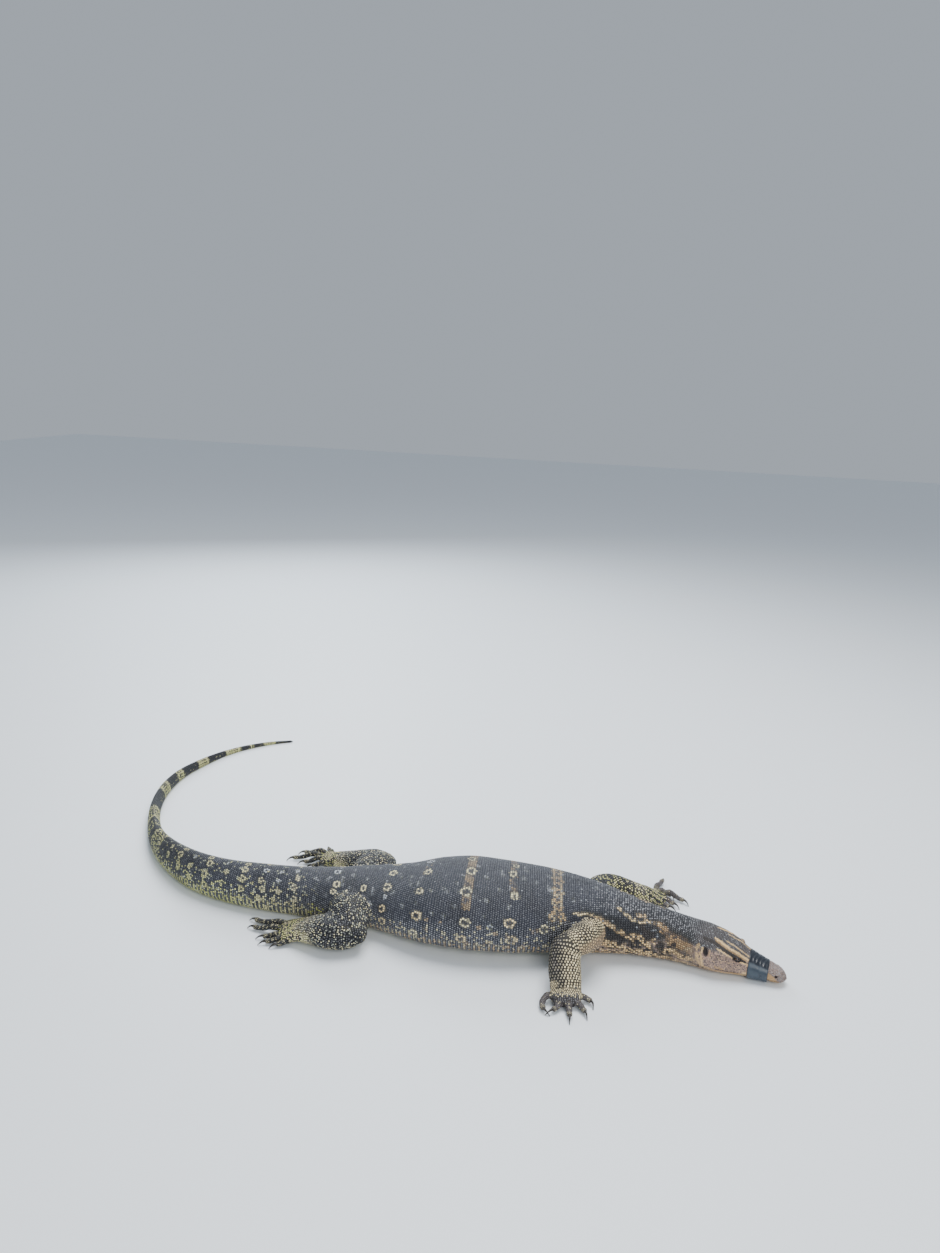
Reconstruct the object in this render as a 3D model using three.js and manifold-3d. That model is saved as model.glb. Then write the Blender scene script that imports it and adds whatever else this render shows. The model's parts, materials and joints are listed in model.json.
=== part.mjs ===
// Water monitor lizard, a still life-size model that lies on the floor.
// Millimetres, +Z up. The origin is on the floor under the middle of the trunk,
// +X runs along the trunk towards the head and +Y is the animal's left.
// The body is one skin of rings along a spine, parted by thin gaps into head, neck, torso and tail.
// Each leg is a swept limb with a foot of five toes, and each toe ends in a hooked claw.

import * as THREE from 'three';
import { mergeVertices } from 'three/addons/utils/BufferGeometryUtils.js';
import Module from 'manifold-3d';

const wasm = await Module();
wasm.setup();

// Gap kept between neighbouring pieces.
const GAP = 0.3;

// Course of the spine seen from above, from the snout to the tip of the tail, as [x, y].
const SPINE = [
  [458.5, -36.5], // snout tip
  [401.8, -20.4], // before the eyes
  [344, -4.5], // ears
  [314, 2], // nape
  [277, 8.5],
  [234, 12.5], // middle of the neck
  [146, 14.5], // shoulders
  [46, 8.5],
  [-64, 5.5], // middle of the belly
  [-178, 11.5], // hips
  [-233, 7.5], // vent
  [-349, 5.5],
  [-407, 11.5],
  [-461.5, 26.5], // the tail starts to curl round
  [-520, 60],
  [-578, 113.5],
  [-632.5, 196],
  [-667, 282],
  [-679.5, 349],
  [-678.5, 415],
  [-661, 480],
  [-637, 538],
  [-605, 584],
  [-564, 622],
  [-518, 650], // tail tip
];

// Size of the body at places along the spine: [distance from the snout, half width, height].
const GIRTH = [
  [0, 13.2, 19.5], // snout tip, before it is rounded off
  [12, 15, 22.5],
  [22, 16.8, 25.2], // nostrils
  [45, 20.6, 31.5], // muzzle
  [60, 25, 38],
  [74, 29.5, 45], // eyes
  [96, 35.5, 52.5],
  [118, 38, 57.5], // ears
  [145, 38.2, 60.5], // nape
  [190, 42.5, 66], // neck
  [232, 49, 76],
  [275, 58.5, 88],
  [322, 69.5, 97], // shoulders
  [368, 80, 102.5],
  [422, 89.5, 105], // widest ribs
  [476, 92.5, 107],
  [531, 86.5, 101],
  [589, 70, 86],
  [646, 55, 77], // hips
  [702, 43.5, 73.5], // vent
  [760, 36.5, 71],
  [818, 32.5, 69.5],
  [878, 28.5, 66.5],
  [935, 25.5, 63.5],
  [1002, 20.8, 57],
  [1080, 15.8, 46.5],
  [1180, 11.2, 33],
  [1272, 9.8, 29.5],
  [1340, 8.7, 25.5],
  [1406, 7.3, 21],
  [1474, 6, 17.2],
  [1536, 4.6, 12.8],
  [1592, 3.7, 10],
  [1648, 2.9, 7.4],
  [1702, 2, 4.6], // tail tip, before it is rounded off
];

// Form of the cross-section: [distance, roundness above, roundness below, height of the widest line].
// A roundness of 2 is an ellipse, more is boxier and less is sharper.
const SECTION = [
  [0, 2.3, 2.2, 0.45],
  [50, 2.5, 2.3, 0.42],
  [100, 2.6, 2.3, 0.42],
  [150, 2.3, 2.3, 0.45],
  [320, 2.15, 2.3, 0.45],
  [480, 2.15, 2.3, 0.45],
  [650, 2.15, 2.4, 0.43],
  [760, 2, 2.4, 0.42],
  [1000, 1.75, 2.2, 0.4],
  [1702, 1.8, 2.1, 0.42],
];

// Level of the underside: a little below the floor where the body lies on it, and cut flat there.
const UNDERSIDE = [
  [0, 5],
  [10, 2.4],
  [25, 1.5], // clear of the floor by more than the band round the snout is thick
  [62, 1.5],
  [84, -0.8], // chin
  [128, -0.8],
  [160, 0.6], // throat
  [230, 0.6],
  [290, -1.2], // chest
  [476, -1.8],
  [640, -1.5],
  [760, -1.2],
  [1702, -0.5],
];

// Height of a low double ridge along the top of the tail.
const RIDGE = [
  [700, 0],
  [860, 1],
  [1250, 1.2],
  [1702, 0.3],
];

// Rounding of the two ends.
const SNOUT_ROUND = 13;
const TAIL_ROUND = 4;

// Where the body is parted, as distances from the snout.
const HEAD_END = 132;
const NECK_END = 258;
const TORSO_END = 700;
const TAIL_CUTS = [930, 1160, 1415, 1702];
const TAIL_STEP = 19;

// Line of the mouth: [distance, height above the floor].
const MOUTH = [
  [0, 8.6],
  [22, 9.2],
  [50, 10.8],
  [75, 13.2],
  [100, 16.5],
];
const MOUTH_CORNER = 98;
const LIP_HALF = 1.3;
const LIP_DEPTH = 1.3;
const JAW_INSET = 0.9;

// Broad forms of the head, alike on both sides.
// Each has its place along the head, its height, its reach along and up, and how far it swells out.
const HEAD_FORMS = [
  { at: 15, z: 17, along: 7, up: 5, swell: 1.1 }, // round the nostril
  { at: 46, z: 20, along: 15, up: 7, swell: -1.6 }, // hollow before the eye
  { at: 70, z: 41, along: 13, up: 5, swell: 1.7 }, // brow
  { at: 92, z: 44, along: 14, up: 7, swell: 1.4 }, // temple
  { at: 104, z: 26, along: 15, up: 11, swell: 2.4 }, // jaw muscle
  { at: 128, z: 20, along: 8, up: 14, swell: -1.8 }, // hollow behind the jaw
];

// Eyes, ears and nostrils.
const EYE = { at: 71, z: 32.5, radius: 6.2, inset: 3.4, lid: 1.2, slit: [5.6, 3.1, 6] };
const EAR = { at: 116, z: 39, half: [4.2, 7.2, 3.4], lean: 12 };
const NOSTRIL = { at: 14.5, z: 16.5, half: [2.5, 1.7, 2.2] };

// Dark tape wound round the snout, lying on the skin.
const BAND = { from: 26, to: 54.5, thick: 0.9 };

// The legs. A limb's stations are [x, y, z, half width across, half thickness].
// A toe is [root x, root y, heading in degrees, turn along it, length].
const LIMBS = [
  {
    leg: 'foreleg_right',
    foot: 'forefoot_right',
    bones: [
      [
        [170, -22, 50, 22, 22],
        [166, -52, 52, 23, 21],
        [155, -71, 56, 22, 20],
        [141, -85, 56, 20, 18.5],
      ],
      [
        [138, -74, 53, 18, 16],
        [136, -88, 53, 21.5, 19],
        [134.5, -101, 45, 22.5, 18],
        [136, -118, 31, 23, 15],
        [139, -134, 17, 22, 11.5],
      ],
    ],
    palm: [
      [137, -126, 24, 22.5, 12.5],
      [139, -134, 17, 22, 11.5],
      [140, -142, 10.5, 23, 10],
      [141, -149, 8, 19, 7.5],
    ],
    toes: [
      [124, -140, 180, 165, 33],
      [133, -146, 262, -60, 20],
      [142, -147, 284, -14, 24],
      [150, -144, 335, -58, 22],
      [156, -136, 40, -140, 19],
    ],
    lift: 11,
  },
  {
    leg: 'foreleg_left',
    foot: 'forefoot_left',
    bones: [
      [
        [176, 44, 50, 24, 24],
        [182, 74, 50, 24, 22],
        [192, 93, 49, 22, 19],
        [206, 102, 46, 22, 18],
        [224, 109, 39, 21, 17],
        [246, 121, 28, 21, 15],
        [266, 134, 19, 20, 12],
      ],
    ],
    palm: [
      [257, 128, 24, 20.5, 13],
      [266, 134, 19, 20, 12],
      [278, 141, 12, 21, 10.5],
      [289, 146, 9, 18, 8],
    ],
    toes: [
      [281, 155, 78, -14, 51],
      [286, 158, 58, -150, 24],
      [294, 153, 24, -80, 34],
      [294, 143, -10, -40, 17],
      [285, 135, -30, 10, 18],
    ],
    lift: 15,
  },
  {
    leg: 'hindleg_right',
    foot: 'hindfoot_right',
    bones: [
      [
        [-200, -14, 37, 29, 23],
        [-194, -48, 39, 34, 28],
        [-186, -70, 33, 29, 26],
        [-180, -82, 29, 21, 22],
      ],
      [
        [-176, -78, 28, 18, 22],
        [-192, -81, 28, 26, 25],
        [-213, -80, 27, 31, 24],
        [-239, -74, 22, 29, 19],
        [-262, -69, 16, 27, 13],
      ],
    ],
    palm: [
      [-250, -72, 19, 28, 15],
      [-262, -69, 16, 27, 13],
      [-276, -68, 11, 28, 10.5],
      [-291, -68, 9, 25, 8],
    ],
    toes: [
      [-286, -53, 182, -22, 58],
      [-295, -66, 185, -18, 44],
      [-292, -80, 188, 4, 25],
      [-286, -88, 197, 4, 24],
      [-275, -90, 208, 4, 18],
    ],
    lift: 12,
  },
  {
    leg: 'hindleg_left',
    foot: 'hindfoot_left',
    bones: [
      [
        [-196, 40, 37, 28, 23],
        [-190, 80, 39, 32, 27],
        [-181, 106, 32, 27, 25],
        [-179, 120, 28, 21, 22],
      ],
      [
        [-171, 115, 28, 19, 22],
        [-191, 119, 28, 25, 24],
        [-216, 123, 25, 26, 21],
        [-242, 131, 20, 22, 17],
        [-262, 140, 16, 20, 13],
      ],
    ],
    palm: [
      [-251, 135, 18, 21, 15],
      [-262, 140, 16, 20, 13],
      [-275, 146, 11, 21, 10.5],
      [-290, 151, 9, 19, 8],
    ],
    toes: [
      [-295, 151, 173, 33, 52],
      [-292, 160, 152, 45, 42],
      [-292, 142, 186, 10, 32],
      [-284, 135, 197, 5, 24],
      [-282, 161, 118, 0, 28],
    ],
    lift: 14,
  },
];

// Toes and claws.
const TOE = { root: 5.6, tip: 3.9, level: 6, full: 36, sides: 7, steps: 5 };
const CLAW = { root: 2.7, tip: 0.5, length: 14, sides: 5, steps: 3, rise: 1.5 };
const LEG_SIDES = 14;
const LEG_STEP = 11;

// How far behind the torso the body is kept clear of the hind legs and feet.
const LEG_REACH = 130;

const PALM_SIDES = 12;
const PALM_STEP = 9;

// How a limb's end is rounded off: rings ahead of it, as [reach, size] in shares of its thickness.
const ROUND_END = [[0.5, 0.86], [0.85, 0.5]];

// Surfaces.
const SKINS = {
  head: { color: 0x4a423c, roughness: 0.62 },
  neck: { color: 0x3b3a3a, roughness: 0.6 },
  torso: { color: 0x2c2e33, roughness: 0.55 },
  tail: { color: 0x2e2d28, roughness: 0.58 },
  leg: { color: 0x33342c, roughness: 0.6 },
  foot: { color: 0x2a2a24, roughness: 0.6 },
  eye: { color: 0x14100c, roughness: 0.08 },
  band: { color: 0x16232b, roughness: 0.3 },
};

// A smooth curve through the rows of a table, reading one column against the first.
// Its slopes are harmonic means, so that it never swings past a row.
function through(rows, column) {
  const x = rows.map((row) => row[0]);
  const y = rows.map((row) => row[column]);
  const last = x.length - 1;
  const rise = x.slice(1).map((value, i) => (y[i + 1] - y[i]) / (value - x[i]));
  const slope = x.map((value, i) => {
    if (i === 0) return rise[0];
    if (i === last) return rise[last - 1];
    if (rise[i - 1] * rise[i] <= 0) return 0;
    return (2 * rise[i - 1] * rise[i]) / (rise[i - 1] + rise[i]);
  });
  return (at) => {
    const t = Math.min(Math.max(at, x[0]), x[last]);
    let i = 0;
    while (i < last - 1 && t > x[i + 1]) i += 1;
    const run = x[i + 1] - x[i];
    const u = (t - x[i]) / run;
    const keep = (1 + 2 * u) * (1 - u) ** 2;
    const start = u * (1 - u) ** 2 * run;
    const end = u * u * (u - 1) * run;
    return keep * y[i] + (1 - keep) * y[i + 1] + start * slope[i] + end * slope[i + 1];
  };
}

// The spine as a smooth curve, with each bend shared between the two stretches that meet there.
const spineRows = SPINE.map(([x, y]) => [0, x, y]);
for (let i = 1; i < spineRows.length; i += 1) {
  const [fromX, fromY] = SPINE[i - 1];
  const [toX, toY] = SPINE[i];
  spineRows[i][0] = spineRows[i - 1][0] + Math.hypot(toX - fromX, toY - fromY);
}
const SPINE_LENGTH = spineRows[spineRows.length - 1][0];

function bend(column) {
  const s = spineRows.map((row) => row[0]);
  const v = spineRows.map((row) => row[column]);
  const last = s.length - 1;
  const rise = s.slice(1).map((value, i) => (v[i + 1] - v[i]) / (value - s[i]));
  const slope = s.map((value, i) => {
    if (i === 0) return rise[0];
    if (i === last) return rise[last - 1];
    const before = s[i] - s[i - 1];
    const after = s[i + 1] - s[i];
    return (rise[i - 1] * after + rise[i] * before) / (before + after);
  });
  return (at) => {
    const t = Math.min(Math.max(at, 0), SPINE_LENGTH);
    let i = 0;
    while (i < last - 1 && t > s[i + 1]) i += 1;
    const run = s[i + 1] - s[i];
    const u = (t - s[i]) / run;
    const keep = (1 + 2 * u) * (1 - u) ** 2;
    const start = u * (1 - u) ** 2 * run;
    const end = u * u * (u - 1) * run;
    return keep * v[i] + (1 - keep) * v[i + 1] + start * slope[i] + end * slope[i + 1];
  };
}

const spineX = bend(1);
const spineY = bend(2);
const halfWidthAt = through(GIRTH, 1);
const heightAt = through(GIRTH, 2);
const crownAt = through(SECTION, 1);
const bellyAt = through(SECTION, 2);
const widestAt = through(SECTION, 3);
const undersideAt = through(UNDERSIDE, 1);
const ridgeAt = through(RIDGE, 1);
const mouthAt = through(MOUTH, 1);

// Unit vectors along the spine, towards the tail, and to the animal's left.
function frameAt(s) {
  const reach = 0.5;
  const dx = spineX(s + reach) - spineX(s - reach);
  const dy = spineY(s + reach) - spineY(s - reach);
  const run = Math.hypot(dx, dy);
  return { tail: [dx / run, dy / run], left: [dy / run, -dx / run] };
}

// How far the ends are rounded off, from 0 at the very tip to 1 where the full size is reached.
function roundedAt(s) {
  const snout = Math.min(s / SNOUT_ROUND, 1);
  const tail = Math.min(Math.max(SPINE_LENGTH - s, 0) / TAIL_ROUND, 1);
  return Math.sqrt(1 - (1 - snout) ** 2) * Math.sqrt(1 - (1 - tail) ** 2);
}

function smoothStep(from, to, value) {
  const t = Math.min(Math.max((value - from) / (to - from), 0), 1);
  return t * t * (3 - 2 * t);
}

// A point of the bare cross-section: angle 0 is the back, a quarter turn the left side.
function sectionPoint(s, angle, grow = 0) {
  const up = Math.cos(angle);
  const out = Math.sin(angle);
  const power = 2 / (up > 0 ? crownAt(s) : bellyAt(s));
  const round = roundedAt(s);
  const low = undersideAt(s);
  const top = heightAt(s);
  const level = s < SNOUT_ROUND ? mouthAt(s) + 1 : low + (top - low) * widestAt(s);
  const blend = smoothStep(0, 2 * SNOUT_ROUND, s);
  const middle = level * (1 - blend) + (low + (top - low) * widestAt(s)) * blend;
  const half = up > 0 ? top - middle : middle - low;
  const side = (halfWidthAt(s) * round + grow) * Math.sign(out) * Math.abs(out) ** power;
  const z = middle + (half * round + grow) * Math.sign(up) * Math.abs(up) ** power;
  return { side, z, middle };
}

// Angle below the widest line at which the section reaches a height.
function angleAtHeight(s, height) {
  let high = 0.02;
  let low = Math.PI - 0.02;
  for (let i = 0; i < 30; i += 1) {
    const half = (high + low) / 2;
    if (sectionPoint(s, half).z > height) high = half;
    else low = half;
  }
  return (high + low) / 2;
}

// How far the head swells out or sinks in at a point of its side.
function headRelief(s, z) {
  return HEAD_FORMS.reduce((sum, form) => {
    const along = (s - form.at) / form.along;
    const up = (z - form.z) / form.up;
    return sum + form.swell * Math.exp(-along * along - up * up);
  }, 0);
}

// The full skin of the body at a distance from the snout and an angle round the section.
function bodyPoint(s, angle, grow = 0, lip = 0) {
  const { side, z, middle } = sectionPoint(s, angle, grow);
  let outSide = side;
  let outZ = z;
  if (s < HEAD_END + 30) {
    const reach = Math.hypot(side, z - middle) || 1;
    const swell = headRelief(s, z) * roundedAt(s) * Math.abs(Math.sin(angle)) ** 0.6;
    const mouthOpen = 1 - smoothStep(MOUTH_CORNER - 6, MOUTH_CORNER, s);
    const below = z < mouthAt(s) - 0.1 ? JAW_INSET * mouthOpen * smoothStep(0, 10, s) : 0;
    const push = swell - below - lip * mouthOpen * smoothStep(0, 6, s);
    outSide += (push * side) / reach;
    outZ += (push * (z - middle)) / reach;
  }
  outZ += ridgeAt(s) * Math.max(Math.cos(angle), 0) ** 6;
  const { left } = frameAt(s);
  const height = grow > 0 ? outZ : Math.max(outZ, 0);
  return new THREE.Vector3(spineX(s) + left[0] * outSide, spineY(s) + left[1] * outSide, height);
}

// Angles round a plain section.
function evenAngles(count) {
  return Array.from({ length: count }, (_, i) => ({ angle: (2 * Math.PI * i) / count, lip: 0 }));
}

// Angles round the head, closer together at the lips, where the line of the mouth sinks in.
function headAngles(s) {
  const mouth = angleAtHeight(s, mouthAt(s));
  const spread = Math.min(LIP_HALF / Math.max(halfWidthAt(s) * roundedAt(s), 3), 0.25);
  const above = 8;
  const below = 4;
  const half = [];
  for (let i = 0; i <= above; i += 1) half.push({ angle: ((mouth - spread) * i) / above, lip: 0 });
  half.push({ angle: mouth, lip: LIP_DEPTH });
  for (let i = 0; i <= below; i += 1) {
    half.push({ angle: mouth + spread + ((Math.PI - mouth - spread) * i) / below, lip: 0 });
  }
  const back = half.slice(1, -1).reverse();
  return [...half, ...back.map(({ angle, lip }) => ({ angle: 2 * Math.PI - angle, lip }))];
}

// A closed surface through rings of points, each end closed by a fan to its middle or to a given point.
function loft(rings, firstPole = null, lastPole = null) {
  const count = rings[0].length;
  const middleOf = (ring) => ring.reduce((sum, p) => sum.add(p), new THREE.Vector3()).divideScalar(count);
  const points = [...rings.flat(), firstPole ?? middleOf(rings[0]), lastPole ?? middleOf(rings.at(-1))];
  const first = points.length - 2;
  const last = points.length - 1;
  const faces = [];
  for (let r = 0; r < rings.length - 1; r += 1) {
    for (let i = 0; i < count; i += 1) {
      const next = (i + 1) % count;
      const a = r * count + i;
      const b = r * count + next;
      faces.push([a, b, b + count], [a, b + count, a + count]);
    }
  }
  const lastRing = (rings.length - 1) * count;
  for (let i = 0; i < count; i += 1) {
    const next = (i + 1) % count;
    faces.push([first, next, i], [last, lastRing + i, lastRing + next]);
  }
  const volume = faces.reduce((sum, [a, b, c]) => {
    const cross = new THREE.Vector3().crossVectors(points[b], points[c]);
    return sum + points[a].dot(cross);
  }, 0);
  const index = faces.flatMap(([a, b, c]) => (volume > 0 ? [a, b, c] : [a, c, b]));
  const geometry = new THREE.BufferGeometry();
  geometry.setAttribute('position', new THREE.Float32BufferAttribute(points.flatMap((p) => p.toArray()), 3));
  geometry.setIndex(index);
  return geometry;
}

// Joining and cutting.
function solid(geometry) {
  const bare = geometry.clone();
  bare.deleteAttribute('normal');
  bare.deleteAttribute('uv');
  const merged = mergeVertices(bare, 1e-4);
  return new wasm.Manifold(
    new wasm.Mesh({
      numProp: 3,
      vertProperties: new Float32Array(merged.getAttribute('position').array),
      triVerts: new Uint32Array(merged.getIndex().array),
    }),
  );
}

function largest(body) {
  return body.decompose().reduce((best, piece) => (piece.volume() > best.volume() ? piece : best));
}

function geometryOf(body) {
  const mesh = largest(body).getMesh();
  const geometry = new THREE.BufferGeometry();
  geometry.setAttribute('position', new THREE.Float32BufferAttribute(mesh.vertProperties, 3));
  geometry.setIndex(Array.from(mesh.triVerts));
  geometry.computeVertexNormals();
  return geometry;
}

function unite(bodies) {
  return bodies.reduce((sum, body) => sum.add(body));
}

// A stretch of the body between two distances, as a closed solid.
function bodyStretch(from, to, anglesAt, step, grow = 0) {
  const count = Math.max(Math.round((to - from) / step), 1);
  const rings = [];
  for (let i = 0; i <= count; i += 1) {
    const s = from + ((to - from) * i) / count;
    rings.push(anglesAt(s).map(({ angle, lip }) => bodyPoint(s, angle, grow, lip)));
  }
  return rings;
}

function plainStretch(from, to, sides, step, grow = 0) {
  return loft(bodyStretch(from, to, () => evenAngles(sides), step, grow));
}

// Half width of the skin at a height, for placing what sits on the side of the head.
function sideAt(s, z) {
  const angle = angleAtHeight(s, z);
  const point = bodyPoint(s, angle);
  return Math.hypot(point.x - spineX(s), point.y - spineY(s));
}

// A rounded cutter or filler set on the side of the head, with its depth along the outward line.
function headOval(spot, half, sign, inset, lean = 0, sides = 12, rows = 8) {
  const oval = new THREE.SphereGeometry(1, sides, rows);
  oval.scale(half[0], half[2], half[1]);
  oval.rotateY(THREE.MathUtils.degToRad(lean));
  const { tail, left } = frameAt(spot.at);
  const outward = new THREE.Vector3(left[0] * sign, left[1] * sign, 0);
  const along = new THREE.Vector3(tail[0], tail[1], 0);
  const up = new THREE.Vector3(0, 0, 1);
  const flip = new THREE.Vector3().crossVectors(up, along).dot(outward) < 0 ? -1 : 1;
  const basis = new THREE.Matrix4().makeBasis(along.multiplyScalar(flip), outward, up);
  const offset = sign * (sideAt(spot.at, spot.z) - inset);
  basis.setPosition(spineX(spot.at) + left[0] * offset, spineY(spot.at) + left[1] * offset, spot.z);
  return oval.applyMatrix4(basis);
}

function eyeball(sign, radius) {
  return headOval(EYE, [radius, radius, radius], sign, EYE.inset);
}

// Head: the snout closes in a point at the line of the mouth, then eyes, ears and nostrils are cut.
function makeHead() {
  const first = [0.5, 1.8, 4, 7, 10.5];
  const rings = first.map((s) => headAngles(s).map(({ angle, lip }) => bodyPoint(s, angle, 0, lip)));
  rings.push(...bodyStretch(14, HEAD_END - GAP / 2, headAngles, 5.2));
  const pole = new THREE.Vector3(spineX(0), spineY(0), mouthAt(0) + 1);
  let head = solid(loft(rings, pole));
  for (const sign of [1, -1]) {
    const slit = headOval(EYE, EYE.slit, sign, EYE.inset - EYE.radius);
    head = head.add(solid(eyeball(sign, EYE.radius + GAP + EYE.lid)));
    head = head.subtract(solid(eyeball(sign, EYE.radius + GAP)));
    head = head.subtract(solid(slit));
    head = head.subtract(solid(headOval(EAR, EAR.half, sign, 0, EAR.lean)));
    head = head.subtract(solid(headOval(NOSTRIL, NOSTRIL.half, sign, 0, 0, 8, 6)));
  }
  return head;
}

// Band: a sleeve that follows the snout, a gap clear of it.
function makeBand() {
  const clearance = GAP + 0.15;
  const smooth = (s) => headAngles(s).map(({ angle }) => ({ angle, lip: 0 }));
  const sleeve = (grow, overrun) =>
    solid(loft(bodyStretch(BAND.from - overrun, BAND.to + overrun, smooth, 10, grow)));
  return sleeve(clearance + BAND.thick, 0).subtract(sleeve(clearance, 2));
}

// A limb, palm or toe: elliptic rings along a smooth course of stations.
function sweep(stations, sides, step, roundings = ROUND_END) {
  const course = new THREE.CatmullRomCurve3(
    stations.map(([x, y, z]) => new THREE.Vector3(x, y, z)),
    false,
    'centripetal',
  );
  const count = Math.max(Math.round(course.getLength() / step), 3);
  const sizeRows = stations.map(([, , , across, thick], i) => [i / (stations.length - 1), across, thick]);
  const acrossAt = through(sizeRows, 1);
  const thickAt = through(sizeRows, 2);
  const ringAt = (centre, tangent, across, thick) => {
    const sideways = new THREE.Vector3().crossVectors(tangent, new THREE.Vector3(0, 0, 1)).normalize();
    const upwards = new THREE.Vector3().crossVectors(sideways, tangent).normalize();
    return Array.from({ length: sides }, (_, i) => {
      const angle = (2 * Math.PI * i) / sides;
      const point = centre.clone();
      point.addScaledVector(sideways, across * Math.cos(angle));
      point.addScaledVector(upwards, thick * Math.sin(angle));
      point.z = Math.max(point.z, 0);
      return point;
    });
  };
  const rings = [];
  for (let i = 0; i <= count; i += 1) {
    const t = i / count;
    rings.push(ringAt(course.getPoint(t), course.getTangent(t), acrossAt(t), thickAt(t)));
  }
  const tangent = course.getTangent(1);
  for (const [ahead, scale] of roundings) {
    const centre = course.getPoint(1).addScaledVector(tangent, ahead * thickAt(1));
    rings.push(ringAt(centre, tangent, acrossAt(1) * scale, thickAt(1) * scale));
  }
  return loft(rings);
}

// A toe runs out from the palm over a raised knuckle, then its claw hooks down to the floor.
// The knuckle of a short toe is lower.
function makeToe([rootX, rootY, heading, turn, length], lift) {
  const total = length + CLAW.length;
  const toe = [];
  const claw = [];
  const place = new THREE.Vector2(rootX, rootY);
  const parts = TOE.steps + CLAW.steps;
  for (let i = 0; i <= parts; i += 1) {
    const onToe = i <= TOE.steps;
    const t = onToe ? i / TOE.steps : (i - TOE.steps) / CLAW.steps;
    const walked = onToe ? length * t : length + CLAW.length * t;
    if (i > 0) {
      const stride = onToe ? length / TOE.steps : CLAW.length / CLAW.steps;
      const way = THREE.MathUtils.degToRad(heading + (turn * (walked - stride / 2)) / total);
      place.x += stride * Math.cos(way);
      place.y += stride * Math.sin(way);
    }
    if (onToe) {
      const size = TOE.root + (TOE.tip - TOE.root) * t;
      const rise = (lift - TOE.level) * Math.min(length / TOE.full, 1);
      const z = TOE.level + rise * Math.sin(Math.PI * Math.min(t + 0.22, 1)) ** 1.5;
      toe.push([place.x, place.y, z, size, size * 0.92]);
      if (i === TOE.steps - 1) claw.push([place.x, place.y, z, CLAW.root, CLAW.root]);
    } else {
      const size = CLAW.root + (CLAW.tip - CLAW.root) * t;
      const z = TOE.level + CLAW.rise * Math.sin(Math.PI * t) - (TOE.level - CLAW.tip) * t * t;
      claw.push([place.x, place.y, z, size * 0.8, size]);
    }
  }
  const toeBody = solid(sweep(toe, TOE.sides, length / TOE.steps, [[0.7, 0.7]]));
  const clawBody = solid(sweep(claw, CLAW.sides, CLAW.length / CLAW.steps, []));
  return toeBody.add(clawBody);
}

// Half of space on one side of a plane that crosses the limb, as a large block.
function halfSpace(point, direction, shift) {
  const size = 600;
  const block = new THREE.BoxGeometry(size, size, size);
  block.translate(0, 0, size / 2 + shift);
  const turn = new THREE.Quaternion().setFromUnitVectors(new THREE.Vector3(0, 0, 1), direction);
  block.applyQuaternion(turn);
  block.translate(point.x, point.y, point.z);
  return solid(block);
}

function makeLimb(limb, keepClear) {
  const [before, joint, after] = limb.palm.map(([x, y, z]) => new THREE.Vector3(x, y, z));
  const onwards = after.clone().sub(before).normalize();
  const backwards = onwards.clone().negate();
  const bones = unite(limb.bones.map((stations) => solid(sweep(stations, LEG_SIDES, LEG_STEP))));
  const leg = bones.intersect(halfSpace(joint, backwards, GAP / 2));
  const swollen = limb.bones.map((stations) =>
    stations.map(([x, y, z, across, thick]) => [x, y, z, across + GAP * 1.5, thick + GAP * 1.5]),
  );
  const legRoom = unite(swollen.map((stations) => solid(sweep(stations, LEG_SIDES, LEG_STEP))));
  const palm = solid(sweep(limb.palm, PALM_SIDES, PALM_STEP)).intersect(halfSpace(joint, onwards, GAP / 2));
  const toes = limb.toes.map((toe) => makeToe(toe, limb.lift));
  const foot = unite([palm, ...toes]).subtract(legRoom.intersect(halfSpace(joint, backwards, -GAP / 2)));
  return [
    [limb.leg, leg.subtract(keepClear), SKINS.leg],
    [limb.foot, foot.subtract(keepClear), SKINS.foot],
  ];
}

// The finished group.
const lizard = new THREE.Group();

function place(name, geometry, { color, roughness }) {
  const material = new THREE.MeshStandardMaterial({ color, roughness, metalness: 0 });
  const mesh = new THREE.Mesh(geometry, material);
  mesh.name = name;
  lizard.add(mesh);
}

place('head', geometryOf(makeHead()), SKINS.head);
place('neck', plainStretch(HEAD_END + GAP / 2, NECK_END - GAP / 2, 28, 12.5), SKINS.neck);
place('torso', plainStretch(NECK_END + GAP / 2, TORSO_END - GAP / 2, 30, 17), SKINS.torso);
TAIL_CUTS.forEach((end, i) => {
  const start = i === 0 ? TORSO_END : TAIL_CUTS[i - 1];
  const isTip = i === TAIL_CUTS.length - 1;
  const sides = [24, 20, 16, 14][i];
  const stop = isTip ? SPINE_LENGTH - 0.6 : end - GAP / 2;
  place(`tail_${i + 1}`, plainStretch(start + GAP / 2, stop, sides, TAIL_STEP), SKINS.tail);
});

const bodyRoom = solid(plainStretch(HEAD_END, TORSO_END + LEG_REACH, 30, 17, GAP + 0.15));
for (const limb of LIMBS) {
  for (const [name, body, skin] of makeLimb(limb, bodyRoom)) place(name, geometryOf(body), skin);
}

for (const [name, sign] of [['eye_left', 1], ['eye_right', -1]]) {
  place(name, geometryOf(solid(eyeball(sign, EYE.radius))), SKINS.eye);
}
place('snout_band', geometryOf(makeBand()), SKINS.band);

export default lizard;
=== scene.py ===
# %% [markdown]
# # A water monitor lizard at life size
# The animal lies flat on a floor with its legs spread and its tail swept round behind it.
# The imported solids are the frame: they fix where every part is, and nothing here moves them.
# In their place come one seamless skin, a coat of raised scales, eyes, claws and the tape round
# the snout. The skin could be sculpted by hand, but formulas were chosen, because a scale can
# then be laid at any place on the body by asking the same formulas where that place is.

import json
import math

import bmesh
import bpy
import numpy as np
from mathutils import Matrix, Vector
from mathutils.bvhtree import BVHTree
from mathutils.kdtree import KDTree

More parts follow.
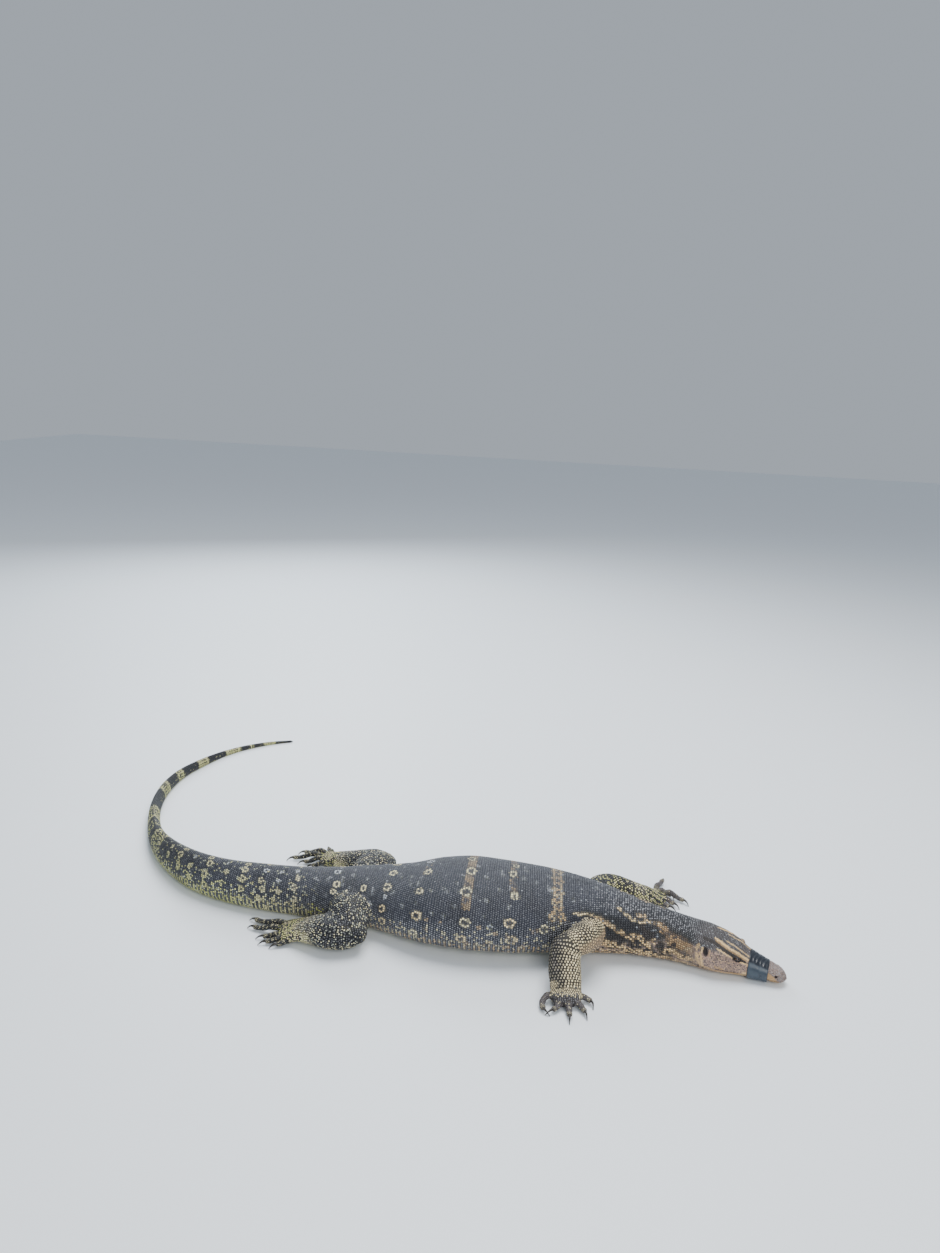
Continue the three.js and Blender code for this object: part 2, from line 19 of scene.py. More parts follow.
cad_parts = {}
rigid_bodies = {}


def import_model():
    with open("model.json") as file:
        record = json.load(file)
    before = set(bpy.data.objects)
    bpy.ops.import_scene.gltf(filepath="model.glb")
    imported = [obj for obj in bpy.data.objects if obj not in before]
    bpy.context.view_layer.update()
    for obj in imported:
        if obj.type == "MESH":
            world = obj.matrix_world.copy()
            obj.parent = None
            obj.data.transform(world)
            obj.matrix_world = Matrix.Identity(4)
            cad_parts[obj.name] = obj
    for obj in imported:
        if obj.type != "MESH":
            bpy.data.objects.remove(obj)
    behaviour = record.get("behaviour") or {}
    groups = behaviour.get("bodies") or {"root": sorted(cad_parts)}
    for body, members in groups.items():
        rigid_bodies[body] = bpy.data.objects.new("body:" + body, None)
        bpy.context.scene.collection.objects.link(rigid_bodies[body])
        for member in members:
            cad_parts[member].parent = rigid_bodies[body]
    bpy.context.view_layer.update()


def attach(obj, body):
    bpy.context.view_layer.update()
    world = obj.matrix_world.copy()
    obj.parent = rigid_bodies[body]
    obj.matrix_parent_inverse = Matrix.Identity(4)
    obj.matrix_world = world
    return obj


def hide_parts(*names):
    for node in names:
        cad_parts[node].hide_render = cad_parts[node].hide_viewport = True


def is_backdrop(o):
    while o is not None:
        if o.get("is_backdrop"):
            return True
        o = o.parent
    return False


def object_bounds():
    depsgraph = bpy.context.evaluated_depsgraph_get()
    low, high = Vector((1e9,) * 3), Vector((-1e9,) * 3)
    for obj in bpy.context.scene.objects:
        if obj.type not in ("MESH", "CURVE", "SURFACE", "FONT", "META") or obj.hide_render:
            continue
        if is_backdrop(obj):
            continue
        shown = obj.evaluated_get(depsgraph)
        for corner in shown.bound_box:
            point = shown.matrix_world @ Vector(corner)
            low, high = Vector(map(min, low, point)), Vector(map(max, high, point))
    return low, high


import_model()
MM = 0.001
TURN = 2 * np.pi

# %% Helpers for meshes and pieces
def read_all(items, key, kind=float, width=1):
    """One value, or a few, of every item of a mesh."""
    values = np.empty(len(items) * width, kind)
    items.foreach_get(key, values)
    return values.reshape(-1, width) if width > 1 else values


def write_layer(mesh, key, value, kind="FLOAT"):
    layer = mesh.attributes.new(key, kind, "POINT")
    layer.data.foreach_set("value" if kind == "FLOAT" else "vector", value.ravel())


def place_object(name, data):
    thing = bpy.data.objects.new(name, data)
    bpy.context.scene.collection.objects.link(thing)
    return thing


def ride_piece(name, mesh, slot, *replaced):
    piece = place_object(name, mesh)
    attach(piece, "root")
    if replaced:
        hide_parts(*replaced)
    return piece


def mesh_of(name, points, faces):
    mesh = bpy.data.meshes.new(name)
    mesh.from_pydata(points, [], faces)
    return mesh


def solid_mesh(name, points, faces, material):
    """A smooth closed mesh from points in millimetres, its faces turned outwards."""
    mesh = mesh_of(name, (points * MM).tolist(), faces)
    bm = bmesh.new()
    bm.from_mesh(mesh)
    bmesh.ops.recalc_face_normals(bm, faces=bm.faces)
    bm.to_mesh(mesh)
    bm.free()
    mesh.shade_smooth()
    mesh.materials.append(material)
    return mesh

# %% [markdown]
# ## Camera
# The picture was taken by someone standing beside the animal and looking down at it a little.
# The camera's place, aim and lens were worked out from the corners of the square floor tiles.
# Depth of field and lens shift stay off, so that other views keep the same optics.

# %% Camera
CAMERA_PLACE = Vector((0.1121, -1.2132, 0.8298))
CAMERA_LOOK = Vector((-0.1172, 0.9570, -0.2654))
CAMERA_UP = Vector((-0.0795, 0.2574, 0.9630))
CAMERA_LENS, SENSOR_WIDTH = 25.61, 36
NEAREST, FARTHEST = 0.05, 50

camera = place_object("camera", bpy.data.cameras.new("camera"))
camera.data.lens, camera.data.sensor_width = CAMERA_LENS, SENSOR_WIDTH
camera.data.clip_start, camera.data.clip_end = NEAREST, FARTHEST
back = -CAMERA_LOOK.normalized()
right = CAMERA_UP.cross(back).normalized()
upright = back.cross(right)
camera.rotation_mode = "QUATERNION"
camera.rotation_quaternion = Matrix((right, upright, back)).transposed().to_quaternion()
camera.location = CAMERA_PLACE
bpy.context.scene.camera = camera
print("camera:", camera.location[:], "lens", camera.data.lens)

# %% [markdown]
# ## The body in numbers
# A lizard's body is one long tube that swells and narrows. It could be sculpted, or lofted by
# hand, but here a few tables say how wide and high it is at places along the spine, and smooth
# curves run through the rows. Distances are in millimetres from the tip of the snout, and the
# same tables shaped the solids, so that the skin follows them closely everywhere.

# %% Tables along the spine
SPINE = [
    [458.5, -36.5], [401.8, -20.4], [344, -4.5], [314, 2], [277, 8.5], [234, 12.5], [146, 14.5],
    [46, 8.5], [-64, 5.5], [-178, 11.5], [-233, 7.5], [-349, 5.5], [-407, 11.5], [-461.5, 26.5],
    [-520, 60], [-578, 113.5], [-632.5, 196], [-667, 282], [-679.5, 349], [-678.5, 415],
    [-661, 480], [-637, 538], [-605, 584], [-564, 622], [-518, 650],
]
# Each row: distance, half width, height.
GIRTH = [
    [0, 13.2, 19.5], [12, 15, 22.5], [22, 16.8, 25.2], [45, 20.6, 31.5], [60, 25, 38],
    [74, 29.5, 45], [96, 35.5, 52.5], [118, 38, 57.5], [145, 38.2, 60.5], [190, 42.5, 66],
    [232, 49, 76], [275, 58.5, 88], [322, 69.5, 97], [368, 80, 102.5], [422, 89.5, 105],
    [476, 92.5, 107], [531, 86.5, 101], [589, 70, 86], [646, 55, 77], [702, 43.5, 73.5],
    [760, 36.5, 71], [818, 32.5, 69.5], [878, 28.5, 66.5], [935, 25.5, 63.5], [1002, 20.8, 57],
    [1080, 15.8, 46.5], [1180, 11.2, 33], [1272, 9.8, 29.5], [1340, 8.7, 25.5], [1406, 7.3, 21],
    [1474, 6, 17.2], [1536, 4.6, 12.8], [1592, 3.7, 10], [1648, 2.9, 7.4], [1702, 2, 4.6],
]
# Each row: distance, roundness above, roundness below, height of the widest line as a share.
SECTION = [
    [0, 2.3, 2.2, 0.45], [50, 2.5, 2.3, 0.42], [100, 2.6, 2.3, 0.42], [150, 2.3, 2.3, 0.45],
    [320, 2.15, 2.3, 0.45], [480, 2.15, 2.3, 0.45], [650, 2.15, 2.4, 0.43], [760, 2, 2.4, 0.42],
    [1000, 1.75, 2.2, 0.4], [1702, 1.8, 2.1, 0.42],
]
UNDERSIDE = [
    [0, 5], [10, 2.4], [25, 1.5], [62, 1.5], [84, -0.8], [128, -0.8], [160, 0.6], [230, 0.6],
    [290, -1.2], [476, -1.8], [640, -1.5], [760, -1.2], [1702, -0.5],
]
RIDGE = [[700, 0], [860, 1], [1250, 1.2], [1702, 0.3]]
MOUTH = [[0, 8.6], [22, 9.2], [50, 10.8], [75, 13.2], [100, 16.5]]
SNOUT_ROUND = 13
TAIL_ROUND = 4
MOUTH_CORNER = 98
HEAD_END = 132

# %% Smooth curves through tables
def hermite(x, y, slope, at):
    t = np.clip(np.asarray(at, float), x[0], x[-1])
    i = np.clip(np.searchsorted(x, t, side="right") - 1, 0, len(x) - 2)
    run = x[i + 1] - x[i]
    u = (t - x[i]) / run
    keep = (1 + 2 * u) * (1 - u) ** 2
    start = u * (1 - u) ** 2 * run * slope[i]
    end = u * u * (u - 1) * run * slope[i + 1]
    return keep * y[i] + (1 - keep) * y[i + 1] + start + end


def through(rows, column):
    """A curve that never swings past a row: its slopes are harmonic means."""
    x = np.array([row[0] for row in rows], float)
    y = np.array([row[column] for row in rows], float)
    rise = np.diff(y) / np.diff(x)
    slope = np.zeros(len(x))
    slope[0], slope[-1] = rise[0], rise[-1]
    product = rise[:-1] * rise[1:]
    total = rise[:-1] + rise[1:]
    same = product > 0
    slope[1:-1][same] = 2 * product[same] / total[same]
    return lambda at: hermite(x, y, slope, at)


def unit(vectors):
    return vectors / np.linalg.norm(vectors, axis=1)[:, None]


spine_xy = np.array(SPINE, float)
spine_runs = np.hypot(*np.diff(spine_xy, axis=0).T)
spine_s = np.concatenate([[0], np.cumsum(spine_runs)])
SPINE_LENGTH = spine_s[-1]


def bend(column):
    """A curve that shares each bend between the two stretches that meet there."""
    y = spine_xy[:, column]
    rise = np.diff(y) / spine_runs
    slope = np.zeros(len(y))
    slope[0], slope[-1] = rise[0], rise[-1]
    before, after = spine_runs[:-1], spine_runs[1:]
    slope[1:-1] = (rise[:-1] * after + rise[1:] * before) / (before + after)
    return lambda at: hermite(spine_s, y, slope, np.clip(at, 0, SPINE_LENGTH))


spine_x, spine_y = bend(0), bend(1)
half_width_at, height_at = through(GIRTH, 1), through(GIRTH, 2)
crown_at, belly_at, widest_at = (through(SECTION, column) for column in (1, 2, 3))
underside_at, ridge_at, mouth_at = through(UNDERSIDE, 1), through(RIDGE, 1), through(MOUTH, 1)
print("spine:", round(SPINE_LENGTH), "mm from snout to tail tip")

# %% Cross-sections
def grow(low, high, value):
    """From 0 at the low value to 1 at the high one, with soft ends."""
    t = np.clip((value - low) / (high - low), 0, 1)
    return t * t * (3 - 2 * t)


def fade(low, high, value):
    return 1 - grow(low, high, value)


def bump(value, middle, reach):
    """1 at the middle, falling away smoothly over the reach."""
    return np.exp(-(((value - middle) / reach) ** 2))


def frame_at(s):
    """Unit vectors in plan: along the spine to the tail, and to the animal's left."""
    dx = spine_x(s + 0.5) - spine_x(s - 0.5)
    dy = spine_y(s + 0.5) - spine_y(s - 0.5)
    run = np.maximum(np.hypot(dx, dy), 1e-9)
    return np.stack([dx / run, dy / run], -1), np.stack([dy / run, -dx / run], -1)


def rounded_at(s):
    snout = np.clip(s / SNOUT_ROUND, 0, 1)
    tail = np.clip((SPINE_LENGTH - s) / TAIL_ROUND, 0, 1)
    return np.sqrt(1 - (1 - snout) ** 2) * np.sqrt(1 - (1 - tail) ** 2)


def section_point(s, angle):
    """Sideways reach and height of the bare section. Angle 0 is the back, a quarter turn the left."""
    up, out = np.cos(angle), np.sin(angle)
    power = 2 / np.where(up > 0, crown_at(s), belly_at(s))
    low, top, widest = underside_at(s), height_at(s), widest_at(s)
    blend = grow(0, 2 * SNOUT_ROUND, s)
    level = np.where(s < SNOUT_ROUND, mouth_at(s) + 1, low + (top - low) * widest)
    middle = level * (1 - blend) + (low + (top - low) * widest) * blend
    half = np.where(up > 0, top - middle, middle - low)
    round_off = rounded_at(s)
    side = half_width_at(s) * round_off * np.sign(out) * np.abs(out) ** power
    z = middle + half * round_off * np.sign(up) * np.abs(up) ** power
    return side, z, middle


print("half width of the trunk:", section_point(np.array([476.0]), math.pi / 2)[0], "mm")

# %% [markdown]
# ## Forms of the head
# A monitor's head is long and flat-sided. A sharp brow runs from the nostril over the eye, the
# lids are thick folds, the ear is an open oval and the jaw muscle bulges behind the mouth.
# These could be sculpted with brushes. Here each is a small rule that pushes the skin out or in
# by the distance along the head and the height above the floor, so that both sides match.

# %% Forms shared with the solids
# Each row: distance, height, reach along, reach up, swelling.
HEAD_FORMS = [[15, 17, 7, 5, 1.1], [46, 20, 15, 7, -1.6], [70, 41, 13, 5, 1.7],
              [92, 44, 14, 7, 1.4], [104, 26, 15, 11, 2.4], [128, 20, 8, 14, -1.8]]
EYE = dict(at=71, z=33.2, radius=5.8, inset=4.4)
EAR = dict(at=116, z=39, along=4.2, up=7.2, deep=4.2, lean=math.radians(12))
NOSTRIL = dict(at=14.5, z=16.5, along=2.5, up=1.7, deep=2.6)
JAW_INSET = 0.9
COAT = 0.55  # how far the skin lies inside the solids, for the scales to fill
print("forms of the head:", len(HEAD_FORMS), "and the skin lies", COAT, "mm in")

# %% Finer forms of the skin
# Ridges over the head: width, rise, line of [distance, height] points.
HEAD_RIDGES = [
    [1.9, 1.3, [[20, 22.5], [45, 29.5], [60, 36], [72, 42], [86, 45.5]]],
    [1.4, 0.7, [[56, 29], [64, 26.4], [72, 25.6], [82, 27.6]]],
    [2.2, 0.8, [[82, 36], [98, 38], [112, 46]]],
    [2.4, 0.7, [[98, 17], [110, 21], [122, 30]]],
    [1.6, -0.7, [[84, 32.5], [98, 33.5], [110, 36]]],
]


def head_relief(s, z):
    total = np.zeros(np.broadcast(s, z).shape)
    for at, height, along, up, swell in HEAD_FORMS:
        total += swell * bump(s, at, along) * bump(z, height, up)
    return total


def ridge_relief(s, z):
    total = np.zeros(np.broadcast(s, z).shape)
    for width, rise, line in HEAD_RIDGES:
        at, height = np.array(line, float).T
        ends = grow(at[0] - 5, at[0] + 3, s) * fade(at[-1] - 3, at[-1] + 5, s)
        total += rise * ends * bump(z, np.interp(s, at, height), width)
    return total


def oval(s, z, spot):
    """0 in the middle of an opening, 1 on its edge."""
    lean = spot.get("lean", 0)
    along, up = s - spot["at"], z - spot["z"]
    across = along * math.cos(lean) - up * math.sin(lean)
    tall = along * math.sin(lean) + up * math.cos(lean)
    return np.hypot(across / spot["along"], tall / spot["up"])


def opening_relief(s, z):
    total = np.zeros(np.broadcast(s, z).shape)
    for spot, rim in ((EAR, 0.8), (NOSTRIL, 0.45)):
        off = oval(s, z, spot)
        total -= spot["deep"] * fade(0.45, 1.02, off)
        total += rim * bump(off, 1.3, 0.28)
    return total


def lip_relief(s, z):
    """The line of the mouth with a lip above and below, and the lower jaw set in."""
    open_part = fade(MOUTH_CORNER - 5, MOUTH_CORNER + 3, s)
    below = mouth_at(s) - z
    crease = -1.5 * bump(below, 0, 0.75)
    lips = 0.55 * bump(below, -2.4, 1.5) + 0.35 * bump(below, 2.3, 1.4)
    inset = -JAW_INSET * grow(-0.4, 0.6, below)
    return open_part * (crease + lips + inset) * grow(0, 8, s)

# %% Folds of the neck and the point on the body
def neck_folds(s, angle):
    """Loose skin behind the jaw and on the throat, in folds that run round the neck."""
    side = np.abs(angle)
    loose = grow(118, 150, s) * fade(235, 290, s)
    low = grow(0.9, 1.7, side)
    wander = 5 * np.sin(3.1 * side + 0.02 * s)
    folds = np.sin((s + wander) / 3.4) + 0.6 * np.sin((s - 1.5 * wander) / 2.1 + 1)
    gular = -1.7 * bump(s + 9 * np.cos(side), 222, 3.5) * grow(1.2, 2.0, side)
    over_leg = (side - np.interp(s, [262, 286, 330], np.radians([69, 58.5, 58]))) * 58
    ends = grow(262, 276, s) * fade(318, 330, s)
    shoulder = ends * (0.5 * bump(over_leg, -4.5, 2.4) - 2.6 * bump(over_leg, 0.3, 2.0))
    return loose * low * 0.45 * folds + gular + shoulder


def body_point(s, angle, detail=True):
    """Millimetres in the shared frame of a place on the skin of the head, trunk or tail."""
    s, angle = np.broadcast_arrays(np.asarray(s, float), np.asarray(angle, float))
    side, z, middle = section_point(s, angle)
    reach = np.maximum(np.hypot(side, z - middle), 1e-6)
    out_side, out_up = side / reach, (z - middle) / reach
    on_head = s < HEAD_END + 30
    shoulder = np.abs(np.sin(angle)) ** 0.6
    push = np.where(on_head, head_relief(s, z) * rounded_at(s) * shoulder, 0)
    if detail:
        fine = ridge_relief(s, z) * shoulder + opening_relief(s, z)
        fine = fine - 0.9 * bump(side, 0, 5) * bump(s, 40, 16) * (out_up > 0)
        push = push + np.where(on_head, fine + lip_relief(s, z), 0) + neck_folds(s, angle)
    push = push - COAT
    side = side + push * out_side
    z = z + push * out_up
    z = z + ridge_at(s) * np.maximum(np.cos(angle), 0) ** 6
    _, left = frame_at(s)
    x = spine_x(s) + left[..., 0] * side
    y = spine_y(s) + left[..., 1] * side
    return np.stack([x, y, np.maximum(z, COAT)], -1)

# %% Lids over the eye
LID = dict(radius=6.7, long=4.7, high=1.75, lift=0.8, tilt=-0.22, floor=4.7, reach=13)


def eye_centre(sign):
    """The middle of an eyeball, set in from the side of the head by its named inset."""
    angles = np.linspace(0.2, math.pi - 0.2, 400)
    points = body_point(np.full(400, EYE["at"]), angles, detail=False)
    nearest = points[np.argmin(np.abs(points[:, 2] - EYE["z"]))]
    tail, left = frame_at(np.array(EYE["at"], float))
    spine = np.array([spine_x(EYE["at"]), spine_y(EYE["at"])])
    offset = np.hypot(*(nearest[:2] - spine)) + COAT - EYE["inset"]
    return np.array([*(spine + left * sign * offset), EYE["z"]]), tail, left * sign


def round_eye(points, sign):
    """Offset from the eyeball's middle, share of the slit's reach, and distance outwards."""
    centre, tail, outward = eye_centre(sign)
    offset = points - centre
    along = offset[:, :2] @ tail
    up = offset[:, 2] - LID["lift"] + LID["tilt"] * along
    return offset, np.hypot(along / LID["long"], up / LID["high"]), offset[:, :2] @ outward


def eye_slit(points, sign):
    """Share of the slit's reach, 1 on its edge, and large away from that side's eye."""
    offset, slit, out = round_eye(points, sign)
    return np.where((out > -3) & (np.abs(offset).max(1) < LID["reach"] + 1), slit, 9.0)


def in_front(gap, radius, b):
    """How far along its normal a place meets a ball, or 0 where it doesn't."""
    under = gap + radius**2
    return np.where(under > 0, np.sqrt(np.maximum(under, 0)) - b, 0)


def add_lids(points, normals):
    """Skin near an eye is drawn out over the ball, and inside the slit it dips behind it."""
    for sign in (1, -1):
        offset, slit, out = round_eye(points, sign)
        near = (np.linalg.norm(offset, axis=1) < LID["reach"]) & (out > -2)
        offset, slit, normal = offset[near], slit[near], normals[near]
        b = (offset * normal).sum(1)
        gap = b * b - (offset ** 2).sum(1)
        lid = np.maximum(in_front(gap, LID["radius"], b), 0)
        fold = 0.5 * bump(slit, 1.35, 0.2) - 0.35 * bump(slit, 1.9, 0.2)
        shut = grow(0.9, 1.08, slit)
        behind = np.minimum(in_front(gap, LID["floor"], b), 0)
        points[near] += normal * (shut * (lid + fold) + (1 - shut) * behind)[:, None]
    return points


print("middle of the left eye:", eye_centre(1)[0].round(1))

# %% [markdown]
# ## The body's mesh
# The skin of the head, trunk and tail is a grid of rings, like hoops threaded on the spine. It
# could have the same mesh everywhere, but the head needs cells of about a millimetre for its
# folds and the tail does not. So each stretch has its own ring spacing and its own number of
# columns, and the faces round each eye, ear, nostril and lip are split again before shaping.

# %% Rings along the spine
# Each row: end of the stretch, distance between rings, columns.
RING_STRETCHES = [[12, 0.9, 128], [HEAD_END, 1.6, 128], [260, 3.2, 128], [930, 4.0, 96],
                  [1300, 4.6, 48], [SPINE_LENGTH - 0.4, 5.2, 32]]


def ring_plan():
    rings, start = [], 0.35
    for end, step, columns in RING_STRETCHES:
        count = max(int(round((end - start) / step)), 1)
        rings += [(start + (end - start) * i / count, columns) for i in range(count)]
        start = end
    return rings + [(start, columns)]


def bridge(first, a, second, b):
    """Faces between a ring of a vertices and the next ring of b, which may be fewer."""
    if a == b:
        return [[first + i, first + (i + 1) % a, second + (i + 1) % a, second + i] for i in range(a)]
    marks_a = [round(i * b / a * 1e6) / 1e6 for i in range(a + 1)]
    faces, j = [], 0
    for i in range(a):
        while j < b and marks_a[i] >= j + 0.5:
            faces.append([first + i, second + (j + 1) % b, second + j % b])
            j += 1
        faces.append([first + i, first + (i + 1) % a, second + j % b])
    while j < b:
        faces.append([first, second + (j + 1) % b, second + j % b])
        j += 1
    return faces


def tube_faces(rings, columns, first=0):
    """Faces of a tube whose rings all have the same number of places."""
    starts = [first + ring * columns for ring in range(rings)]
    return [face for a, b in zip(starts, starts[1:]) for face in bridge(a, columns, b, columns)]


def body_grid():
    rings = ring_plan()
    places, faces, starts = [], [], []
    for s, columns in rings:
        starts.append(len(places))
        places += [[s, -math.pi + TURN * i / columns] for i in range(columns)]
    for (_, a), (_, b), first, second in zip(rings, rings[1:], starts, starts[1:]):
        faces += bridge(first, a, second, b)
    for s, ring, flip in ((0.0, 0, False), (SPINE_LENGTH, len(rings) - 1, True)):
        pole, columns, first = len(places), rings[ring][1], starts[ring]
        places.append([s, 0.0])
        for i in range(columns):
            face = [pole, first + (i + 1) % columns, first + i]
            faces.append(face[::-1] if flip else face)
    return np.array(places, float), faces


grid_places, grid_faces = body_grid()
print("body grid:", len(grid_places), "places")

# %% Finer faces where the head needs them
# How near each round of splitting goes: millimetres, or shares of an opening's own reach.
SPLITS = [dict(eye=12, ear=1.7, nostril=2.2, lip=3.4, corner=5),
          dict(eye=8.5, ear=0, nostril=1.5, lip=1.5, corner=2)]


def places_of(bm):
    s_layer, a_layer = bm.verts.layers.float["s"], bm.verts.layers.float["angle"]
    return np.array([[v[s_layer], v[a_layer]] for v in bm.verts]).T


def split_near(bm, reach):
    s, angle = places_of(bm)
    z = body_point(s, angle, detail=False)[:, 2]
    picked = np.hypot(s - EYE["at"], z - EYE["z"]) < reach["eye"]
    picked |= (oval(s, z, EAR) < reach["ear"]) | (oval(s, z, NOSTRIL) < reach["nostril"])
    picked |= (np.abs(z - mouth_at(s)) < reach["lip"]) & (s < MOUTH_CORNER + reach["corner"])
    picked &= s < HEAD_END
    bm.verts.index_update()
    faces = [f for f in bm.faces if all(picked[v.index] for v in f.verts)]
    edges = list({e for f in faces for e in f.edges})
    bmesh.ops.subdivide_edges(bm, edges=edges, cuts=1, use_grid_fill=True)
    bmesh.ops.triangulate(bm, faces=[f for f in bm.faces if len(f.verts) > 4])


def body_mesh():
    mesh = mesh_of("body", [(s, a, 0) for s, a in grid_places], grid_faces)
    bm = bmesh.new()
    bm.from_mesh(mesh)
    s_layer = bm.verts.layers.float.new("s")
    a_layer = bm.verts.layers.float.new("angle")
    for v in bm.verts:
        v[s_layer], v[a_layer] = v.co.x, v.co.y
    for reach in SPLITS:
        split_near(bm, reach)
    points = body_point(*places_of(bm))
    for v, p in zip(bm.verts, points):
        v.co = p
    bm.normal_update()
    normals = np.array([v.normal[:] for v in bm.verts])
    if (normals * (points - points.mean(0))).sum() < 0:  # the faces point inwards
        bmesh.ops.reverse_faces(bm, faces=bm.faces)
        normals = -normals
    points = add_lids(points, normals)
    for v, p in zip(bm.verts, points):
        v.co = Vector(p) * MM
    bm.to_mesh(mesh)
    bm.free()
    return mesh


body = bpy.data.objects.new("body", body_mesh())
print("body mesh:", len(body.data.vertices), "vertices")

# %% [markdown]
# ## The legs
# Each leg is a bent limb with a flat foot and five toes that end in hooked claws. A limb could
# be grown from metaballs, but then its thickness is hard to hold. Here an ellipse is swept along
# a smooth course of joints, the upper arm, the forearm, the palm and each toe in turn, with
# the same stations as the solids have. The claws come later as pieces of their own.

# %% Stations of the legs
# A station is [x, y, z, half width, half thickness]; a toe is [x, y, heading, turn, length].
LIMBS = {
    "foreleg_right": dict(
        bones=[[[170, -22, 50, 22, 22], [166, -52, 52, 23, 21], [155, -71, 56, 22, 20],
                [141, -85, 56, 20, 18.5]],
               [[138, -74, 53, 18, 16], [136, -88, 53, 21.5, 19], [134.5, -101, 45, 22.5, 18],
                [136, -118, 31, 23, 15], [139, -134, 17, 22, 11.5]]],
        palm=[[137, -126, 24, 22.5, 12.5], [139, -134, 17, 22, 11.5], [140, -142, 10.5, 23, 10],
              [141, -149, 8, 19, 7.5]],
        toes=[[124, -140, 180, 165, 33], [133, -146, 262, -60, 20], [142, -147, 284, -14, 24],
              [150, -144, 335, -58, 22], [156, -136, 40, -140, 19]],
        lift=11),
    "foreleg_left": dict(
        bones=[[[176, 44, 50, 24, 24], [182, 74, 50, 24, 22], [192, 93, 49, 22, 19],
                [206, 102, 46, 22, 18], [224, 109, 39, 21, 17], [246, 121, 28, 21, 15],
                [266, 134, 19, 20, 12]]],
        palm=[[257, 128, 24, 20.5, 13], [266, 134, 19, 20, 12], [278, 141, 12, 21, 10.5],
              [289, 146, 9, 18, 8]],
        toes=[[281, 155, 78, -14, 51], [286, 158, 58, -150, 24], [294, 153, 24, -80, 34],
              [294, 143, -10, -40, 17], [285, 135, -30, 10, 18]],
        lift=15),
    "hindleg_right": dict(
        bones=[[[-200, -14, 37, 29, 23], [-194, -48, 39, 34, 28], [-186, -70, 33, 29, 26],
                [-180, -82, 29, 21, 22]],
               [[-176, -78, 28, 18, 22], [-192, -81, 28, 26, 25], [-213, -80, 27, 31, 24],
                [-239, -74, 22, 29, 19], [-262, -69, 16, 27, 13]]],
        palm=[[-250, -72, 19, 28, 15], [-262, -69, 16, 27, 13], [-276, -68, 11, 28, 10.5],
              [-291, -68, 9, 25, 8]],
        toes=[[-286, -53, 182, -22, 58], [-295, -66, 185, -18, 44], [-292, -80, 188, 4, 25],
              [-286, -88, 197, 4, 24], [-275, -90, 208, 4, 18]],
        lift=12),
    "hindleg_left": dict(
        bones=[[[-196, 40, 37, 28, 23], [-190, 80, 39, 32, 27], [-181, 106, 32, 27, 25],
                [-179, 120, 28, 21, 22]],
               [[-171, 115, 28, 19, 22], [-191, 119, 28, 25, 24], [-216, 123, 25, 26, 21],
                [-242, 131, 20, 22, 17], [-262, 140, 16, 20, 13]]],
        palm=[[-251, 135, 18, 21, 15], [-262, 140, 16, 20, 13], [-275, 146, 11, 21, 10.5],
              [-290, 151, 9, 19, 8]],
        toes=[[-295, 151, 173, 33, 52], [-292, 160, 152, 45, 42], [-292, 142, 186, 10, 32],
              [-284, 135, 197, 5, 24], [-282, 161, 118, 0, 28]],
        lift=14),
}
TOE = dict(root=5.6, tip=3.9, level=6, full=36, steps=5)
CLAW = dict(root=2.7, tip=0.5, length=14, steps=3, rise=1.5)
print("legs:", list(LIMBS))

# %% Sweeping an ellipse along a course
def course_points(stations, t):
    """A smooth course through the stations, with its pace set by the root of each stride."""
    points = np.array(stations, float)[:, :3]
    first, last = 2 * points[0] - points[1], 2 * points[-1] - points[-2]
    points = np.vstack([first, points, last])
    where = np.clip(np.asarray(t, float), 0, 1) * (len(points) - 3)
    i = np.minimum(where.astype(int), len(points) - 4)
    u = (where - i)[:, None]
    p0, p1, p2, p3 = (points[i + k] for k in range(4))
    d0, d1, d2 = (np.sqrt(np.linalg.norm(b - a, axis=1))[:, None] + 1e-9
                  for a, b in ((p0, p1), (p1, p2), (p2, p3)))
    m1 = ((p1 - p0) / d0 - (p2 - p0) / (d0 + d1) + (p2 - p1) / d1) * d1
    m2 = ((p2 - p1) / d1 - (p3 - p1) / (d1 + d2) + (p3 - p2) / d2) * d1
    return (p1 * (2 * u**3 - 3 * u**2 + 1) + p2 * (3 * u**2 - 2 * u**3)
            + m1 * (u**3 - 2 * u**2 + u) + m2 * (u**3 - u**2))


def side_and_up(tangent):
    """Unit vectors to the side of a course, level, and square to both."""
    side = unit(np.cross(tangent, [0, 0, 1.0]))
    return side, np.cross(side, tangent)


